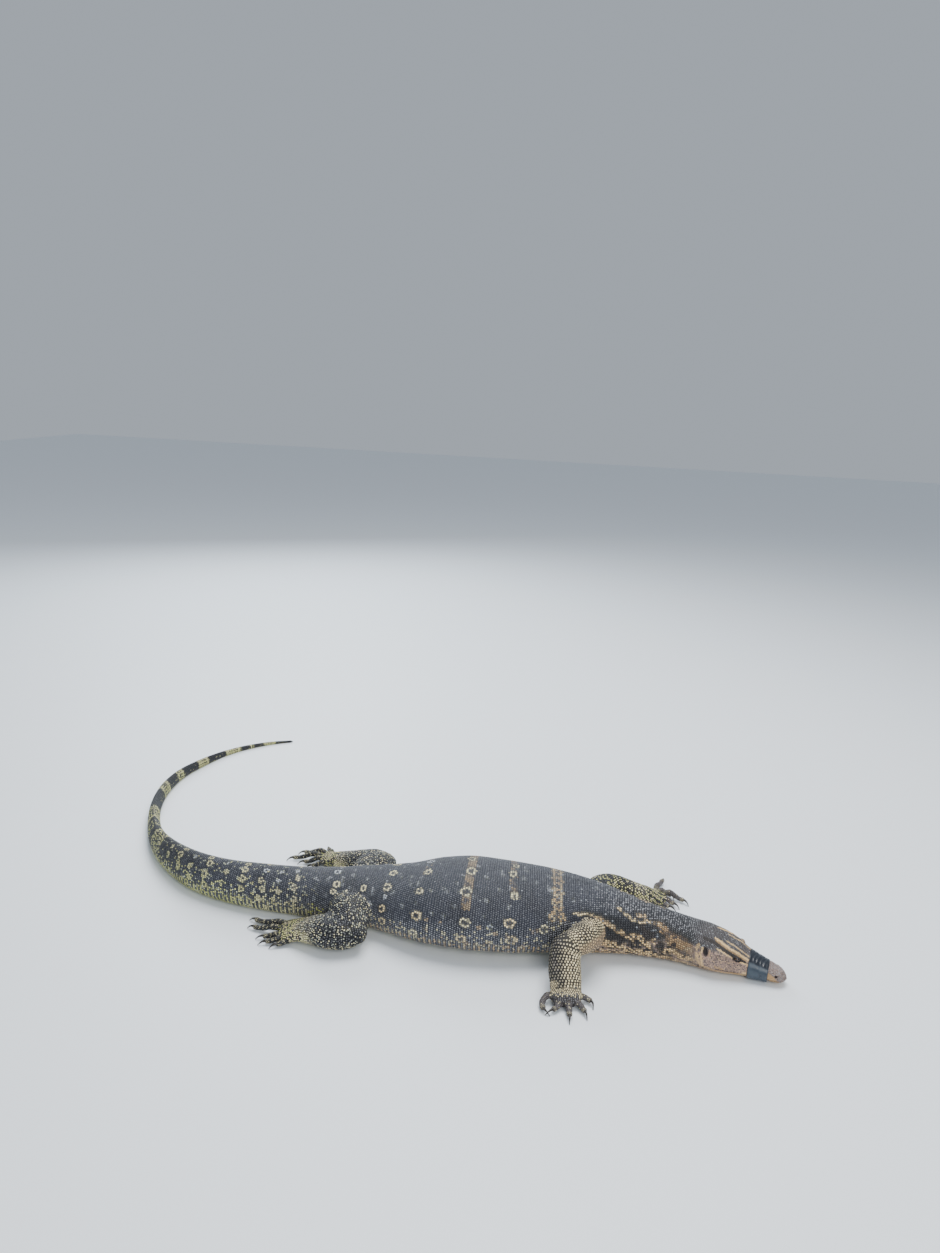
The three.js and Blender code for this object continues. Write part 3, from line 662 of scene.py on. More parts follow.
class Sweep:
    """A limb, palm or toe, which can say where any of its places is."""

    def __init__(self, stations, name, wave=0.0):
        self.stations, self.name, self.wave = stations, name, wave
        rows = [[i / (len(stations) - 1), *row[3:]] for i, row in enumerate(stations)]
        self.across, self.thick = through(rows, 1), through(rows, 2)
        t = np.linspace(0, 1, 80)
        strides = np.linalg.norm(np.diff(course_points(stations, t), axis=0), axis=1)
        self.length = strides.sum()
        self.cap = 0.85 * self.thick(1.0)
        self.full = self.length + self.cap
        self.t_table, self.walk_table = t, np.concatenate([[0], np.cumsum(strides)])

    def point(self, walk, angle):
        """Millimetres. Walk is the distance along the course, angle 0 the side, a quarter the top."""
        walk, angle = np.broadcast_arrays(np.asarray(walk, float), np.asarray(angle, float))
        shape, walk, angle = walk.shape, walk.ravel(), angle.ravel()
        t = np.interp(walk, self.walk_table, self.t_table)
        centre = course_points(self.stations, t)
        tangent = course_points(self.stations, np.minimum(t + 1e-3, 1))
        tangent = tangent - course_points(self.stations, np.maximum(t - 1e-3, 0))
        tangent = unit(tangent)
        ahead = np.maximum(walk - self.length, 0)
        centre = centre + tangent * ahead[:, None]
        ends = np.sqrt(np.maximum(1 - (ahead / (self.cap * 1.02)) ** 2, 0.0))
        knuckles = 1 + self.wave * np.cos(TURN * 3 * walk / self.length)
        side, up = side_and_up(tangent)
        across = (self.across(t) - COAT) * ends * knuckles * np.cos(angle)
        thick = (self.thick(t) - COAT) * ends * knuckles * np.sin(angle)
        point = centre + side * across[:, None] + up * thick[:, None]
        point[:, 2] = np.maximum(point[:, 2], COAT)
        return point.reshape(*shape, 3)

    def mesh(self, columns, step, index):
        rows = max(int(self.length / step), 3)
        walks = np.concatenate([np.linspace(0, self.length, rows + 1),
                                self.length + self.cap * np.array([0.35, 0.65, 0.85, 0.96])])
        angles = -TURN * np.arange(columns) / columns
        rings = self.point(walks[:, None], angles[None, :]).reshape(-1, 3)
        poles = [rings[:columns].mean(0), self.point(self.full, 0.0)]
        points = np.vstack([rings, poles])
        faces = tube_faces(len(walks), columns)
        last = (len(walks) - 1) * columns
        for i in range(columns):
            following = (i + 1) % columns
            faces.append([len(rings), following, i])
            faces.append([len(rings) + 1, last + i, last + following])
        mesh = mesh_of(self.name, (points * MM).tolist(), faces)
        for _ in range(index + 1):
            mesh.materials.append(None)
        mesh.polygons.foreach_set("material_index", [index] * len(faces))
        return mesh

# %% Toes and the courses of their claws
def toe_courses(toe, lift):
    """Stations of a toe and of its claw, walked step by step from the palm."""
    x, y, heading, turn_by, length = toe
    total = length + CLAW["length"]
    toe_stations, claw_stations = [], []
    for i in range(TOE["steps"] + CLAW["steps"] + 1):
        on_toe = i <= TOE["steps"]
        t = i / TOE["steps"] if on_toe else (i - TOE["steps"]) / CLAW["steps"]
        walked = length * t if on_toe else length + CLAW["length"] * t
        if i > 0:
            stride = length / TOE["steps"] if on_toe else CLAW["length"] / CLAW["steps"]
            way = math.radians(heading + turn_by * (walked - stride / 2) / total)
            x, y = x + stride * math.cos(way), y + stride * math.sin(way)
        if on_toe:
            size = TOE["root"] + (TOE["tip"] - TOE["root"]) * t
            rise = (lift - TOE["level"]) * min(length / TOE["full"], 1)
            z = TOE["level"] + rise * math.sin(math.pi * min(t + 0.22, 1)) ** 1.5
            toe_stations.append([x, y, z, size, size * 0.92])
            if i == TOE["steps"] - 1:
                claw_stations.append([x, y, z, CLAW["root"], CLAW["root"]])
        else:
            size = CLAW["root"] + (CLAW["tip"] - CLAW["root"]) * t
            z = TOE["level"] + CLAW["rise"] * math.sin(math.pi * t)
            z -= (TOE["level"] - CLAW["tip"]) * t * t
            claw_stations.append([x, y, z, size * 0.8, size])
    return toe_stations, claw_stations


sweeps, claw_courses = [], {}
for leg, limb in LIMBS.items():
    for i, stations in enumerate(limb["bones"]):
        sweeps.append(Sweep(stations, f"{leg}_bone{i}"))
    foot = leg.replace("leg", "foot")
    sweeps.append(Sweep(limb["palm"], f"{foot}_palm"))
    claw_courses[foot] = []
    for i, toe in enumerate(limb["toes"]):
        toe_stations, claw_stations = toe_courses(toe, limb["lift"])
        sweeps.append(Sweep(toe_stations, f"{foot}_toe{i}", wave=0.07))
        claw_courses[foot].append(claw_stations)
print("limbs:", len(sweeps), "swept parts")

# %% [markdown]
# ## One skin
# Body, legs and toes are joined by one Boolean union, which keeps only the outside. That leaves
# hard creases where a leg meets the flank, so the skin is relaxed there, each point drawn
# towards its neighbours, more strongly the nearer it is to a crease. A voxel remesh would blend
# the parts as well, but it would wipe out the lids, the lips and the knowledge of which part
# each face came from, and the scales need that.

# %% Join body, legs and toes
DETAIL = {"bone": (40, 4.2), "palm": (32, 3.2), "toe": (16, 2.4)}


def by_kind(table, name):
    return next(value for kind, value in table.items() if kind in name)


def join_parts():
    parts = bpy.data.collections.new("parts")
    bpy.context.scene.collection.children.link(parts)
    for index, part in enumerate(sweeps, start=1):
        columns, step = by_kind(DETAIL, part.name)
        parts.objects.link(bpy.data.objects.new(part.name, part.mesh(columns, step, index)))
    body.data.materials.clear()
    for _ in range(len(sweeps) + 1):
        body.data.materials.append(None)
    bpy.context.scene.collection.objects.link(body)
    union = body.modifiers.new("union", "BOOLEAN")
    union.operation = "UNION"
    union.operand_type = "COLLECTION"
    union.collection = parts
    union.solver = "MANIFOLD"
    joined = body.evaluated_get(bpy.context.evaluated_depsgraph_get())
    mesh = bpy.data.meshes.new_from_object(joined)
    for part in list(parts.objects):
        bpy.data.objects.remove(part)
    bpy.data.collections.remove(parts)
    bpy.data.objects.remove(body)
    return mesh


skin_mesh = join_parts()
skin_mesh.name = "skin"
print("joined skin:", len(skin_mesh.vertices), "vertices,", len(skin_mesh.polygons), "faces")

# %% Relax the creases
# How far from a crease the skin gives way, for each kind of neighbour.
RELAX_REACH = {"bone": 15.0, "palm": 7.0, "toe": 4.5}
RELAX_ROUNDS, RELAX_PULL = 16, 0.55


def vertex_array(mesh):
    return read_all(mesh.vertices, "co", float, 3)


def part_of_faces(mesh):
    return read_all(mesh.polygons, "material_index", int)


def crease_vertices(mesh):
    """Vertices on an edge between two parts, and how far the skin relaxes round each."""
    loop_edge = read_all(mesh.loops, "edge_index", int)
    loop_part = np.repeat(part_of_faces(mesh), read_all(mesh.polygons, "loop_total", int))
    low = np.full(len(mesh.edges), 10**6)
    high = np.full(len(mesh.edges), -1)
    np.minimum.at(low, loop_edge, loop_part)
    np.maximum.at(high, loop_edge, loop_part)
    edges = read_all(mesh.edges, "vertices", int, 2)
    reach = {}
    for e in np.flatnonzero(low != high):
        value = min(by_kind(RELAX_REACH, sweeps[i - 1].name) for i in (low[e], high[e]) if i > 0)
        for v in edges[e]:
            reach[v] = max(reach.get(v, 0), value)
    return edges, reach


def relax(mesh):
    points = vertex_array(mesh) / MM
    edges, reach = crease_vertices(mesh)
    tree = KDTree(len(reach))
    order = list(reach)
    for i, v in enumerate(order):
        tree.insert(points[v], i)
    tree.balance()
    weight = np.zeros(len(points))
    for v, p in enumerate(points):
        _, i, far = tree.find(p)
        weight[v] = fade(0, reach[order[i]], far)
    count = np.zeros(len(points))
    np.add.at(count, edges.ravel(), 1)
    for _ in range(RELAX_ROUNDS):
        total = np.zeros_like(points)
        np.add.at(total, edges[:, 0], points[edges[:, 1]])
        np.add.at(total, edges[:, 1], points[edges[:, 0]])
        points += RELAX_PULL * weight[:, None] * (total / count[:, None] - points)
    mesh.vertices.foreach_set("co", (points * MM).ravel())
    mesh.update()
    return weight


relaxed = relax(skin_mesh)
print("relaxed vertices:", int((relaxed > 0.01).sum()))

# %% Where a point lies on the body or on a limb
course_s = np.linspace(0, SPINE_LENGTH, 1700)
course_xy = np.stack([spine_x(course_s), spine_y(course_s)], -1)


def locate_on_body(points):
    """Distance from the snout and angle round the section of points in millimetres."""
    s = np.empty(len(points))
    for first in range(0, len(points), 20000):
        some = points[first:first + 20000, :2]
        far = ((some[:, None, :] - course_xy[None]) ** 2).sum(2)
        s[first:first + 20000] = course_s[far.argmin(1)]
    tail, left = frame_at(s)
    offset = points[:, :2] - np.stack([spine_x(s), spine_y(s)], -1)
    s = np.clip(s + (offset * tail).sum(1), 0, SPINE_LENGTH)
    side = (offset * left).sum(1)
    low, top, widest = underside_at(s), height_at(s), widest_at(s)
    middle = low + (top - low) * widest
    rise = points[:, 2] - middle
    power = np.where(rise > 0, crown_at(s), belly_at(s)) / 2
    half = np.where(rise > 0, top - middle, middle - low)
    out = np.sign(side) * np.abs(side / half_width_at(s)) ** power
    up = np.sign(rise) * np.abs(rise / half) ** power
    return s, np.arctan2(out, up)


def locate_on_sweep(sweep, points):
    t = np.linspace(0, 1, 120)
    course = course_points(sweep.stations, t)
    nearest = ((points[:, None, :] - course[None]) ** 2).sum(2).argmin(1)
    tangent = unit(np.gradient(course, axis=0))
    offset = points - course[nearest]
    side, up = side_and_up(tangent[nearest])
    walk = np.interp(t[nearest], sweep.t_table, sweep.walk_table)
    walk = np.clip(walk + (offset * tangent[nearest]).sum(1), 0, sweep.full)
    across, thick = sweep.across(t[nearest]), sweep.thick(t[nearest])
    return walk, np.arctan2((offset * up).sum(1) / thick, (offset * side).sum(1) / across)


print("tip of the tail:", locate_on_body(np.array([[*course_xy[-1], 2.0]]))[0], "mm from the snout")

# %% [markdown]
# ## Unwrap
# The skin is laid out flat, as a taxidermist would lay a hide: the body is a long strip slit
# along the belly, and each part of a leg is a small rectangle of its own. A projection from one
# side would be quicker, but it would lay the near and far flanks on each other. The scales take
# their place on the map from the same layout.

# %% Layout of the hide
BODY_STRIP = (0.02, 0.50)
# Each row of rectangles: where it starts, how tall it is, and in how many lines.
LEG_ROWS, TOE_ROWS = (0.54, 0.26, 1), (0.82, 0.16, 2)
MARGIN, FILLED, FILLED_UP = 0.06, 0.88, 0.84
BIG_PARTS = [i for i, sweep in enumerate(sweeps) if "toe" not in sweep.name]
TOES = [i for i, sweep in enumerate(sweeps) if "toe" in sweep.name]


def hide_place(part, along, angle):
    """Place on the hide's map. Part 0 is the body, and along is in millimetres."""
    if part == 0:
        low, high = BODY_STRIP
        return np.stack([0.01 + 0.98 * along / SPINE_LENGTH,
                         low + (high - low) * (angle + math.pi) / TURN], -1)
    index = part - 1
    cells, (first, tall, lines) = ((BIG_PARTS, LEG_ROWS) if index in BIG_PARTS
                                   else (TOES, TOE_ROWS))
    columns = len(cells) // lines
    row, column = divmod(cells.index(index), columns)
    turns = np.mod(angle / TURN, 1)
    u = (column + MARGIN + FILLED * along / sweeps[index].full) / columns
    v = first + tall / lines * (row + MARGIN + FILLED_UP * turns)
    return np.stack([u, v], -1)


def unwrap_skin(mesh):
    """Writes the hide's map, face by face, so that no face spans a slit."""
    points = vertex_array(mesh) / MM
    totals = read_all(mesh.polygons, "loop_total", int)
    loop_vertex = read_all(mesh.loops, "vertex_index", int)
    loop_part = np.repeat(part_of_faces(mesh), totals)
    loop_face = np.repeat(np.arange(len(totals)), totals)

    def from_first(value, face):
        """How much each corner's value is ahead of that of its face's first corner."""
        lead = np.zeros(len(totals))
        lead[face[::-1]] = value[::-1]
        return value - lead[face]

    uv = np.zeros((len(mesh.loops), 2))
    for part in range(len(sweeps) + 1):
        loops = np.flatnonzero(loop_part == part)
        face = loop_face[loops]
        vertices, back_to = np.unique(loop_vertex[loops], return_inverse=True)
        along, angle = (locate_on_sweep(sweeps[part - 1], points[vertices]) if part
                        else locate_on_body(points[vertices]))
        along, angle = along[back_to], angle[back_to]
        angle = angle - TURN * np.round(from_first(angle, face) / TURN)
        uv[loops] = hide_place(part, along, angle)
        if part > 0:  # the slit of a limb's rectangle
            _, tall, lines = LEG_ROWS if part - 1 in BIG_PARTS else TOE_ROWS
            jump = np.round(from_first(np.mod(angle / TURN, 1), face))
            uv[loops, 1] -= tall / lines * FILLED_UP * jump
    mesh.uv_layers.new(name="OFBake").data.foreach_set("uv", uv.ravel())


unwrap_skin(skin_mesh)
print("hide laid out on", skin_mesh.uv_layers[0].name)

# %% [markdown]
# ## Markings
# The back is slate black with cross rows of yellow rings, each with a dark middle, and small
# pale flecks between them. The flanks turn to thin pale bars, the neck to tan stripes, the
# head to brown with cream and dark stripes behind the eye, and the end of the tail to bands.
# A painted image could carry this, but rules in distance and angle stay sharp at any size, and
# the skin and every scale can ask them the same question. Each rule gives four values: how
# pale a place is, what sort of pale, what sort of ground lies under it, and how much the
# crest of a scale is lighter than its rim, a painted highlight that also makes grey speckling.

# %% Rings of scales
# Each row: distance from the snout, distance between rings, width of a scale, height.
BODY_PITCH = [
    [0, 1.5, 1.5, 0.22], [50, 1.7, 1.7, 0.25], [90, 2.0, 1.9, 0.32], [130, 2.6, 2.4, 0.46],
    [165, 3.5, 3.1, 0.64], [240, 3.8, 3.3, 0.64], [300, 3.5, 3.2, 0.54], [480, 3.5, 3.2, 0.48],
    [700, 3.4, 3.0, 0.46], [930, 3.4, 2.6, 0.44], [1300, 3.2, 1.9, 0.36], [1700, 2.6, 1.2, 0.22],
]
ring_pitch, width_pitch, body_rise = (through(BODY_PITCH, column) for column in (1, 2, 3))
RING_PLACES = [0.2, 0.6, 1.4]
while RING_PLACES[-1] < SPINE_LENGTH - 5:
    RING_PLACES.append(RING_PLACES[-1] + float(ring_pitch(RING_PLACES[-1])))
RING_PLACES = np.array(RING_PLACES)
print("rings of scales along the body:", len(RING_PLACES))

# %% Helpers for markings
# The sort of pale: 0 cold white, 0.25 green yellow, 0.5 yellow cream, 0.75 pink cream, 1 tan.
# The sort of ground: 0 slate, 0.18 black, 0.35 brown black, 0.65 brown grey, 1 taupe.
# The slate of the trunk, lighter and bluer than the black of the tail, is partly its own colour and
# partly painted sheen.
COLD, GREEN, YELLOW, CREAM, PINK, TAN = 0.0, 0.25, 0.5, 0.62, 0.75, 1.0
BLACK = 0.18


def wobble(x, y, seed=0.0):
    """A smooth, repeatable unevenness between -1 and 1."""
    total = np.sin(0.9 * x + 1.7 * np.sin(0.61 * y + seed) + seed)
    total = total + np.sin(1.3 * y + 1.9 * np.sin(0.47 * x - seed) + 2.1 * seed)
    total = total + 0.6 * np.sin(2.3 * x - 1.9 * y + 3.3 * seed)
    return total / 2.6


def girdle(s):
    """Millimetres of skin to a radian of angle, near enough for the size of a marking."""
    return 0.5 * (half_width_at(s) + 0.5 * height_at(s)) + 2


def uneven(s, angle, fineness, seed):
    return wobble(s * fineness, angle * girdle(s) * fineness, seed)


def ring_count(s):
    return np.interp(s, RING_PLACES, np.arange(len(RING_PLACES)))


def every_other_ring(s):
    return grow(0.1, 0.5, np.cos(math.pi * ring_count(s)))


def along_line(s, angle, line):
    """Distance in millimetres from a line of [distance, degrees] points over the skin."""
    points = np.array(line, float)
    here = np.stack([s, angle * girdle(s)], -1)
    places = np.stack([points[:, 0], np.radians(points[:, 1]) * girdle(points[:, 0])], -1)
    best = np.full(s.shape, 1e9)
    for a, b in zip(places, places[1:]):
        run = b - a
        t = np.clip(((here - a) @ run) / (run @ run), 0, 1)
        best = np.minimum(best, np.hypot(*(here - a - t[..., None] * run).T).T)
    return best


def blend_in(values, amount, pale, sort):
    """Lays a marking over what is there. The paler of the two decides the sort of pale."""
    ahead = amount * pale > values["pale"] * (1 - amount)
    values["pale"] = values["pale"] * (1 - amount) + pale * amount
    values["sort"] = np.where(ahead, sort, values["sort"])


def draw_to(values, share, **goals):
    """Brings some of the four values nearer to their goals."""
    for key, goal in goals.items():
        values[key] = values[key] * (1 - share) + goal * share


def pick(data, rows):
    return {name: value[rows] for name, value in data.items()}


def put_back(values, rows, part):
    for name, value in part.items():
        values[name][rows] = value

# %% Rings and flecks of the back
# Each row: distance, then rings as [degrees, radius, paleness] and a sort where it isn't yellow.
# Degrees below 0 are on the right.
RING_ROWS = [
    [368, [[-75, 7.2, 0.9], [76, 6.7, 0.9]]],
    [415, [[15, 5.4, 0.6], [-1, 5.9, 0.7], [-32, 6.0, 1.0], [-67, 7.4, 1.0, CREAM],
           [-89, 7.4, 0.9, CREAM], [42, 6.7, 1.0], [70, 8.0, 1.0], [92, 7.1, 0.8, CREAM]]],
    [446, [[-74, 3.9, 0.7, COLD], [-94, 4.2, 0.7, CREAM], [84, 4.2, 0.7, COLD]]],
    [482, [[20, 7.1, 0.8], [-4, 7.4, 0.85], [-33, 8.1, 0.95], [-71, 7.6, 1.0],
           [-94, 7.2, 0.9, CREAM], [46, 8.4, 0.95], [74, 8.0, 1.0], [96, 7.1, 0.8, CREAM]]],
    [549, [[18, 5.4, 0.95, COLD], [-5, 5.7, 1.0], [-35, 5.5, 0.95], [-69, 7.4, 1.0, CREAM],
           [-95, 6.4, 0.8], [44, 5.5, 0.95], [72, 7.2, 1.0]]],
    [604, [[-3, 5.9, 1.0], [-31, 6.9, 0.95], [-48, 4.0, 0.8, COLD], [-68, 6.4, 1.0, CREAM],
           [-88, 6.2, 0.9, CREAM], [26, 6.2, 0.95], [52, 6.3, 0.9], [74, 5.9, 0.95]]],
    [648, [[-37, 5.4, 0.95], [-60, 4.7, 0.9], [-80, 5.4, 0.9, CREAM], [40, 5.2, 0.95],
           [66, 5.0, 0.9]]],
    [674, [[-52, 4.5, 0.9], [-72, 4.4, 0.9], [54, 4.4, 0.9]]],
    [692, [[-2, 5.0, 0.95, COLD], [-34, 5.4, 1.0], [-50, 4.4, 0.9], [30, 5.0, 0.95],
           [58, 5.2, 0.9]]],
    [755, [[-6, 4.2, 0.72, COLD], [-28, 4.7, 0.81], [-50, 5.2, 0.85], [-75, 4.7, 0.81],
           [18, 4.2, 0.77], [44, 5.0, 0.81], [72, 5.0, 0.81]]],
    [781, [[-16, 3.4, 0.72, COLD], [-40, 3.5, 0.72, COLD], [-64, 3.7, 0.72],
           [30, 3.5, 0.72, COLD], [58, 3.9, 0.72]]],
    [808, [[-17, 4.0, 0.85, COLD], [-43, 4.7, 0.81], [-63, 4.5, 0.81], [-86, 4.7, 0.81],
           [12, 4.2, 0.81], [40, 4.7, 0.81], [70, 4.7, 0.81]]],
    [841, [[-2, 4.7, 0.72], [-23, 5.2, 0.85], [-46, 5.4, 0.85], [-70, 4.9, 0.85],
           [24, 5.0, 0.85], [52, 5.2, 0.85], [78, 4.9, 0.81]]],
    [872, [[-12, 3.2, 0.68, COLD], [-38, 3.9, 0.81], [-64, 4.0, 0.81], [36, 3.9, 0.72],
           [66, 4.0, 0.81]]],
    [906, [[-2, 5.0, 0.72], [-26, 5.7, 0.85], [-54, 5.7, 0.85], [-80, 5.0, 0.81],
           [28, 5.5, 0.81], [58, 5.5, 0.81]]],
    [938, [[-20, 3.7, 0.72, COLD], [-48, 4.2, 0.81], [-74, 4.2, 0.81], [40, 4.2, 0.81],
           [70, 4.2, 0.81]]],
    [968, [[-4, 5.0, 0.81], [-32, 5.9, 0.90], [-62, 5.5, 0.90], [28, 5.7, 0.81], [60, 5.5, 0.81]]],
    [1002, [[-22, 3.9, 0.77], [-52, 4.2, 0.81], [44, 4.2, 0.81]]],
]
RING_LINE = 2.8  # about one scale
RING_DRIFT = 2.2
ROW_REACH = 26
FLECK_ROWS = (286, 730, 19.0)
FLECKS_A_ROW = 12


def lay_ring(values, s, across, ring, seed):
    at, radius, pale, sort = ring
    along = s - at
    far = np.hypot(along, across) * (1 + 0.09 * wobble(along * 0.5, across * 0.5, seed))
    around = fade(radius + 1.5, radius + 5.0, far)
    inside = fade(radius - 0.4, radius + 0.4, far)
    middle = fade(radius - RING_LINE - 0.5, radius - RING_LINE + 0.3, far)
    draw_to(values, 0.75 * around, crest=0)
    draw_to(values, 0.6 * around, pale=0)
    blend_in(values, inside, pale, sort)
    blend_in(values, middle, 0.02, sort)
    if radius > 8.2:  # the largest ring has a pale spot in its dark middle
        blend_in(values, fade(1.2, 2.2, far), 0.6 * pale, sort)


def ring_marks(s, angle, values):
    for row, (at, rings) in enumerate(RING_ROWS):
        near = np.abs(s - at) < ROW_REACH
        part = pick(values, near)
        for number, (degree, radius, pale, *sort) in enumerate(rings):
            drift = RING_DRIFT * math.sin(5 * row + 3 * number)
            across = (angle[near] - math.radians(degree)) * girdle(s[near])
            ring = (at + drift, radius, pale, sort[0] if sort else YELLOW)
            lay_ring(part, s[near], across, ring, row + number)
        put_back(values, near, part)


def fleck_marks(s, angle, values):
    """Small pale spots of one to three scales, which stand in loose cross rows."""
    draw = np.random.default_rng(11)
    for at in np.arange(*FLECK_ROWS):
        for _ in range(FLECKS_A_ROW):
            place = at + draw.normal(0, 2.2)
            degree = draw.uniform(-112, 112)
            radius, pale = draw.uniform(1.7, 3.4), draw.uniform(0.14, 0.42)
            near = np.abs(s - place) < 6
            part = pick(values, near)
            across = (angle[near] - math.radians(degree)) * girdle(s[near])
            far = np.hypot((s[near] - place) * 1.1, across)
            blend_in(part, fade(radius * 0.85, radius * 1.2, far), pale,
                     COLD if abs(degree) < 70 else PINK)
            put_back(values, near, part)


print("rings of colour:", sum(len(rings) for _, rings in RING_ROWS))

# %% Bands and bars of the trunk
# Dull bands that join the rings of a row: distance, reach, degrees right, degrees left, strength.
ROW_BANDS = [[482, 6.5, 55, 60, 0.5], [415, 5.5, 30, 34, 0.25], [549, 5.0, 12, 26, 0.2]]
FIRST_BAND = 349


def first_band(s, angle, values, chance):
    """The ragged tan band behind the neck, a row of links with dark middles."""
    around, across = np.degrees(np.abs(angle)), angle * girdle(s)
    links = np.abs(np.mod(across + 3, 11.5) / 11.5 - 0.5)
    off = np.abs(s - FIRST_BAND + 2.4 * wobble(across * 0.25, (angle >= 0) * 3.0, 7))
    reach = 7.0 + 1.8 * wobble(across * 0.33, 1.0, 3) + 5 * grow(44, 60, around)
    hollow = fade(2.4, 3.8, off) * grow(0.16, 0.3, links)
    holes = 0.14 + 0.2 * grow(40, 60, around)
    band = fade(reach, reach + 1.2, off)
    band = band * fade(66, 72, around) * grow(holes, holes + 0.05, chance)
    faint = 0.55 + 0.45 * grow(4, 30, around)
    blend_in(values, band * (1 - 0.9 * hollow) * (0.6 + 0.4 * chance) * faint, 0.75,
             np.where(chance > 0.55, 0.84, 0.6))


def shoulder_patch(s, angle, values, chance):
    """A dark patch behind the near shoulder, whose scales have light crests: grey speckling with
    painted highlight. It passes on where it lies.
    """
    around = np.degrees(np.abs(angle))
    here = fade(361, 364, s) * grow(300, 312, s) * (angle < 0)
    here = here * grow(62, 65, around) * grow(112, 104, around)
    draw_to(values, here, pale=0, ground=BLACK, crest=0.3 + 0.65 * chance)
    blend_in(values, here * (chance < 0.14), 0.6, YELLOW)
    return here


def trunk_marks(s, angle, values, chance):
    around, across = np.degrees(np.abs(angle)), angle * girdle(s)
    mottle = uneven(s, angle, 0.35, 2.0)
    for at, reach, right, left, share in ROW_BANDS:
        here = (np.abs(s - at) < reach) & (around < np.where(angle < 0, right, left))
        here = here * grow(0.35, 0.75, share + 0.35 * mottle + 0.3 * (0.5 - chance) + 0.2)
        blend_in(values, here, 0.32, 0.74)
    first_band(s, angle, values, chance)
    ring_marks(s, angle, values)
    free = 1 - shoulder_patch(s, angle, values, chance)
    trunk = grow(270, 312, s) * fade(1000, 1060, s)
    low = grow(70, 92, around) * grow(116, 100, around) * trunk * free
    sort = np.where(s > 700, np.where(chance > 0.2, YELLOW, GREEN),
                    np.where(chance > 0.45, PINK, YELLOW))
    dots = grow(66, 84, around) * grow(285, 320, s) * grow(800, 700, s)
    lattice = 0.5 + 0.5 * np.cos(math.pi * (ring_count(s) + 2 * np.floor(across / 6.2)) * 0.5)
    values["crest"] += dots * free * (0.15 + 0.55 * lattice * chance)
    blend_in(values, (chance < 0.17 * low) * (0.7 + chance), 0.8, sort)
    under = grow(95, 106, around) * trunk * free
    broken = grow(0.12, 0.3, chance) * grow(-0.65, -0.2, mottle)
    bars = under * every_other_ring(s) * broken
    blend_in(values, bars * (0.5 + 0.4 * chance), 0.8, sort)
    cross = grow(0.5, 0.8, 0.5 + 0.5 * np.sin(TURN * s / 34 + 2 * angle))
    blend_in(values, grow(118, 135, around) * (1 - 0.8 * cross), 0.75, YELLOW)

# %% Dots, bars and bands of the tail
# Each row: distance, reach, share of pale scales.
TAIL_BANDS = [[1062, 24, 0.62], [1124, 14, 0.5], [1184, 28, 0.7], [1308, 20, 0.95],
              [1384, 11, 1.0], [1463, 15, 1.2], [1551, 19, 1.3], [1598, 5, 0.8], [1642, 13, 1.3]]


def tail_marks(s, angle, values, chance):
    around, across = np.degrees(np.abs(angle)), angle * girdle(s)
    mottle = wobble(s * 0.5, across * 0.8, 6.0)
    base = grow(700, 770, s) * fade(1040, 1120, s)
    dots = 0.09 + 0.17 * grow(30, 75, around)
    blend_in(values, base * (chance < dots), 0.5 + 0.4 * grow(40, 80, around),
             np.where(chance < 0.07, 0.1, 0.46))
    values["crest"] += 0.16 * base * chance
    rows = every_other_ring(s) * grow(0.26, 0.4, chance)
    rows = rows * grow(-0.35, 0.25, mottle + 0.02 * (around - 84))
    blend_in(values, base * grow(76, 94, around) * rows, 0.9, 0.42)
    for at, reach, pale in TAIL_BANDS:
        off = np.abs(s - at)
        inside = fade(reach * 0.85, reach * 1.1, off + 2.5 * mottle)
        cell = np.sin(math.pi * (s - at) / 6.4) * np.sin(math.pi * (across + 1.5) / 5.2)
        edge = grow(reach * 0.5, reach * 0.9, off)
        net = grow(0.62, 0.42, np.abs(cell) - 0.6 * edge + 0.15 * (0.5 - chance))
        flecked = chance < pale * (0.75 + 0.3 * edge + 0.2 * mottle)
        blend_in(values, inside * net * flecked, 0.95, np.where(chance < 0.3, 0.36, YELLOW))
    stray = grow(1080, 1150, s) * (chance > 0.95) * grow(25, 80, around)
    blend_in(values, stray, 0.5, YELLOW)
    greener = grow(760, 880, s) * (0.35 + 0.65 * grow(20, 80, around))
    values["sort"] -= 0.16 * greener * (values["sort"] > 0.3)


print("bands of the tail:", len(TAIL_BANDS))

# %% Stripes and blots of the neck
# Each row: width, paleness, sort, line of [distance, degrees] points.
NECK_STRIPES = [
    [2.6, 1.0, 0.66, [[254, -25], [242, -34], [230, -40], [219, -42]]],
    [4.0, 0.8, PINK, [[222, -27], [214, -24]]],
    [2.9, 0.95, 0.7, [[214, -37], [203, -34], [192, -32], [186, -38]]],
    [7.4, 0.8, TAN, [[186, -36], [180, -45], [168, -52], [156, -56], [141, -66]]],
    [1.9, 0.9, 0.62, [[324, -51], [305, -50], [292, -50]]],
    [3.6, 0.95, 0.68, [[292, -50], [276, -55], [263, -62], [249, -70]]],
    [3.0, 0.85, 0.8, [[286, -53], [263, -64], [249, -72], [236, -77]]],
    [4.2, 0.95, PINK, [[249, -70], [236, -76], [218, -71], [207, -84], [192, -99]]],
    [3.0, 0.9, PINK, [[236, -76], [222, -94], [205, -104], [186, -104]]],
    [6.5, 0.9, PINK, [[292, -92], [276, -92], [258, -96], [240, -104], [205, -110], [170, -106]]],
    [12, 0.62, TAN, [[165, -70], [150, -80], [135, -80]]],
    [4.5, 0.85, PINK, [[186, -92], [166, -90], [146, -98], [128, -98]]],
]
# Each row: distance, degrees, radius.
NECK_BLOTS = [[246, -84, 6.5], [226, -90, 6.5], [205, -62, 10], [184, -84, 8], [163, -72, 5.0],
              [196, -120, 5], [262, -82, 6], [232, -120, 5], [168, -116, 4.5], [215, -52, 7],
              [148, -92, 3.5], [136, -106, 3.5]]
NECK_FOLD = [[262, 69], [286, 59.5], [330, 58]]


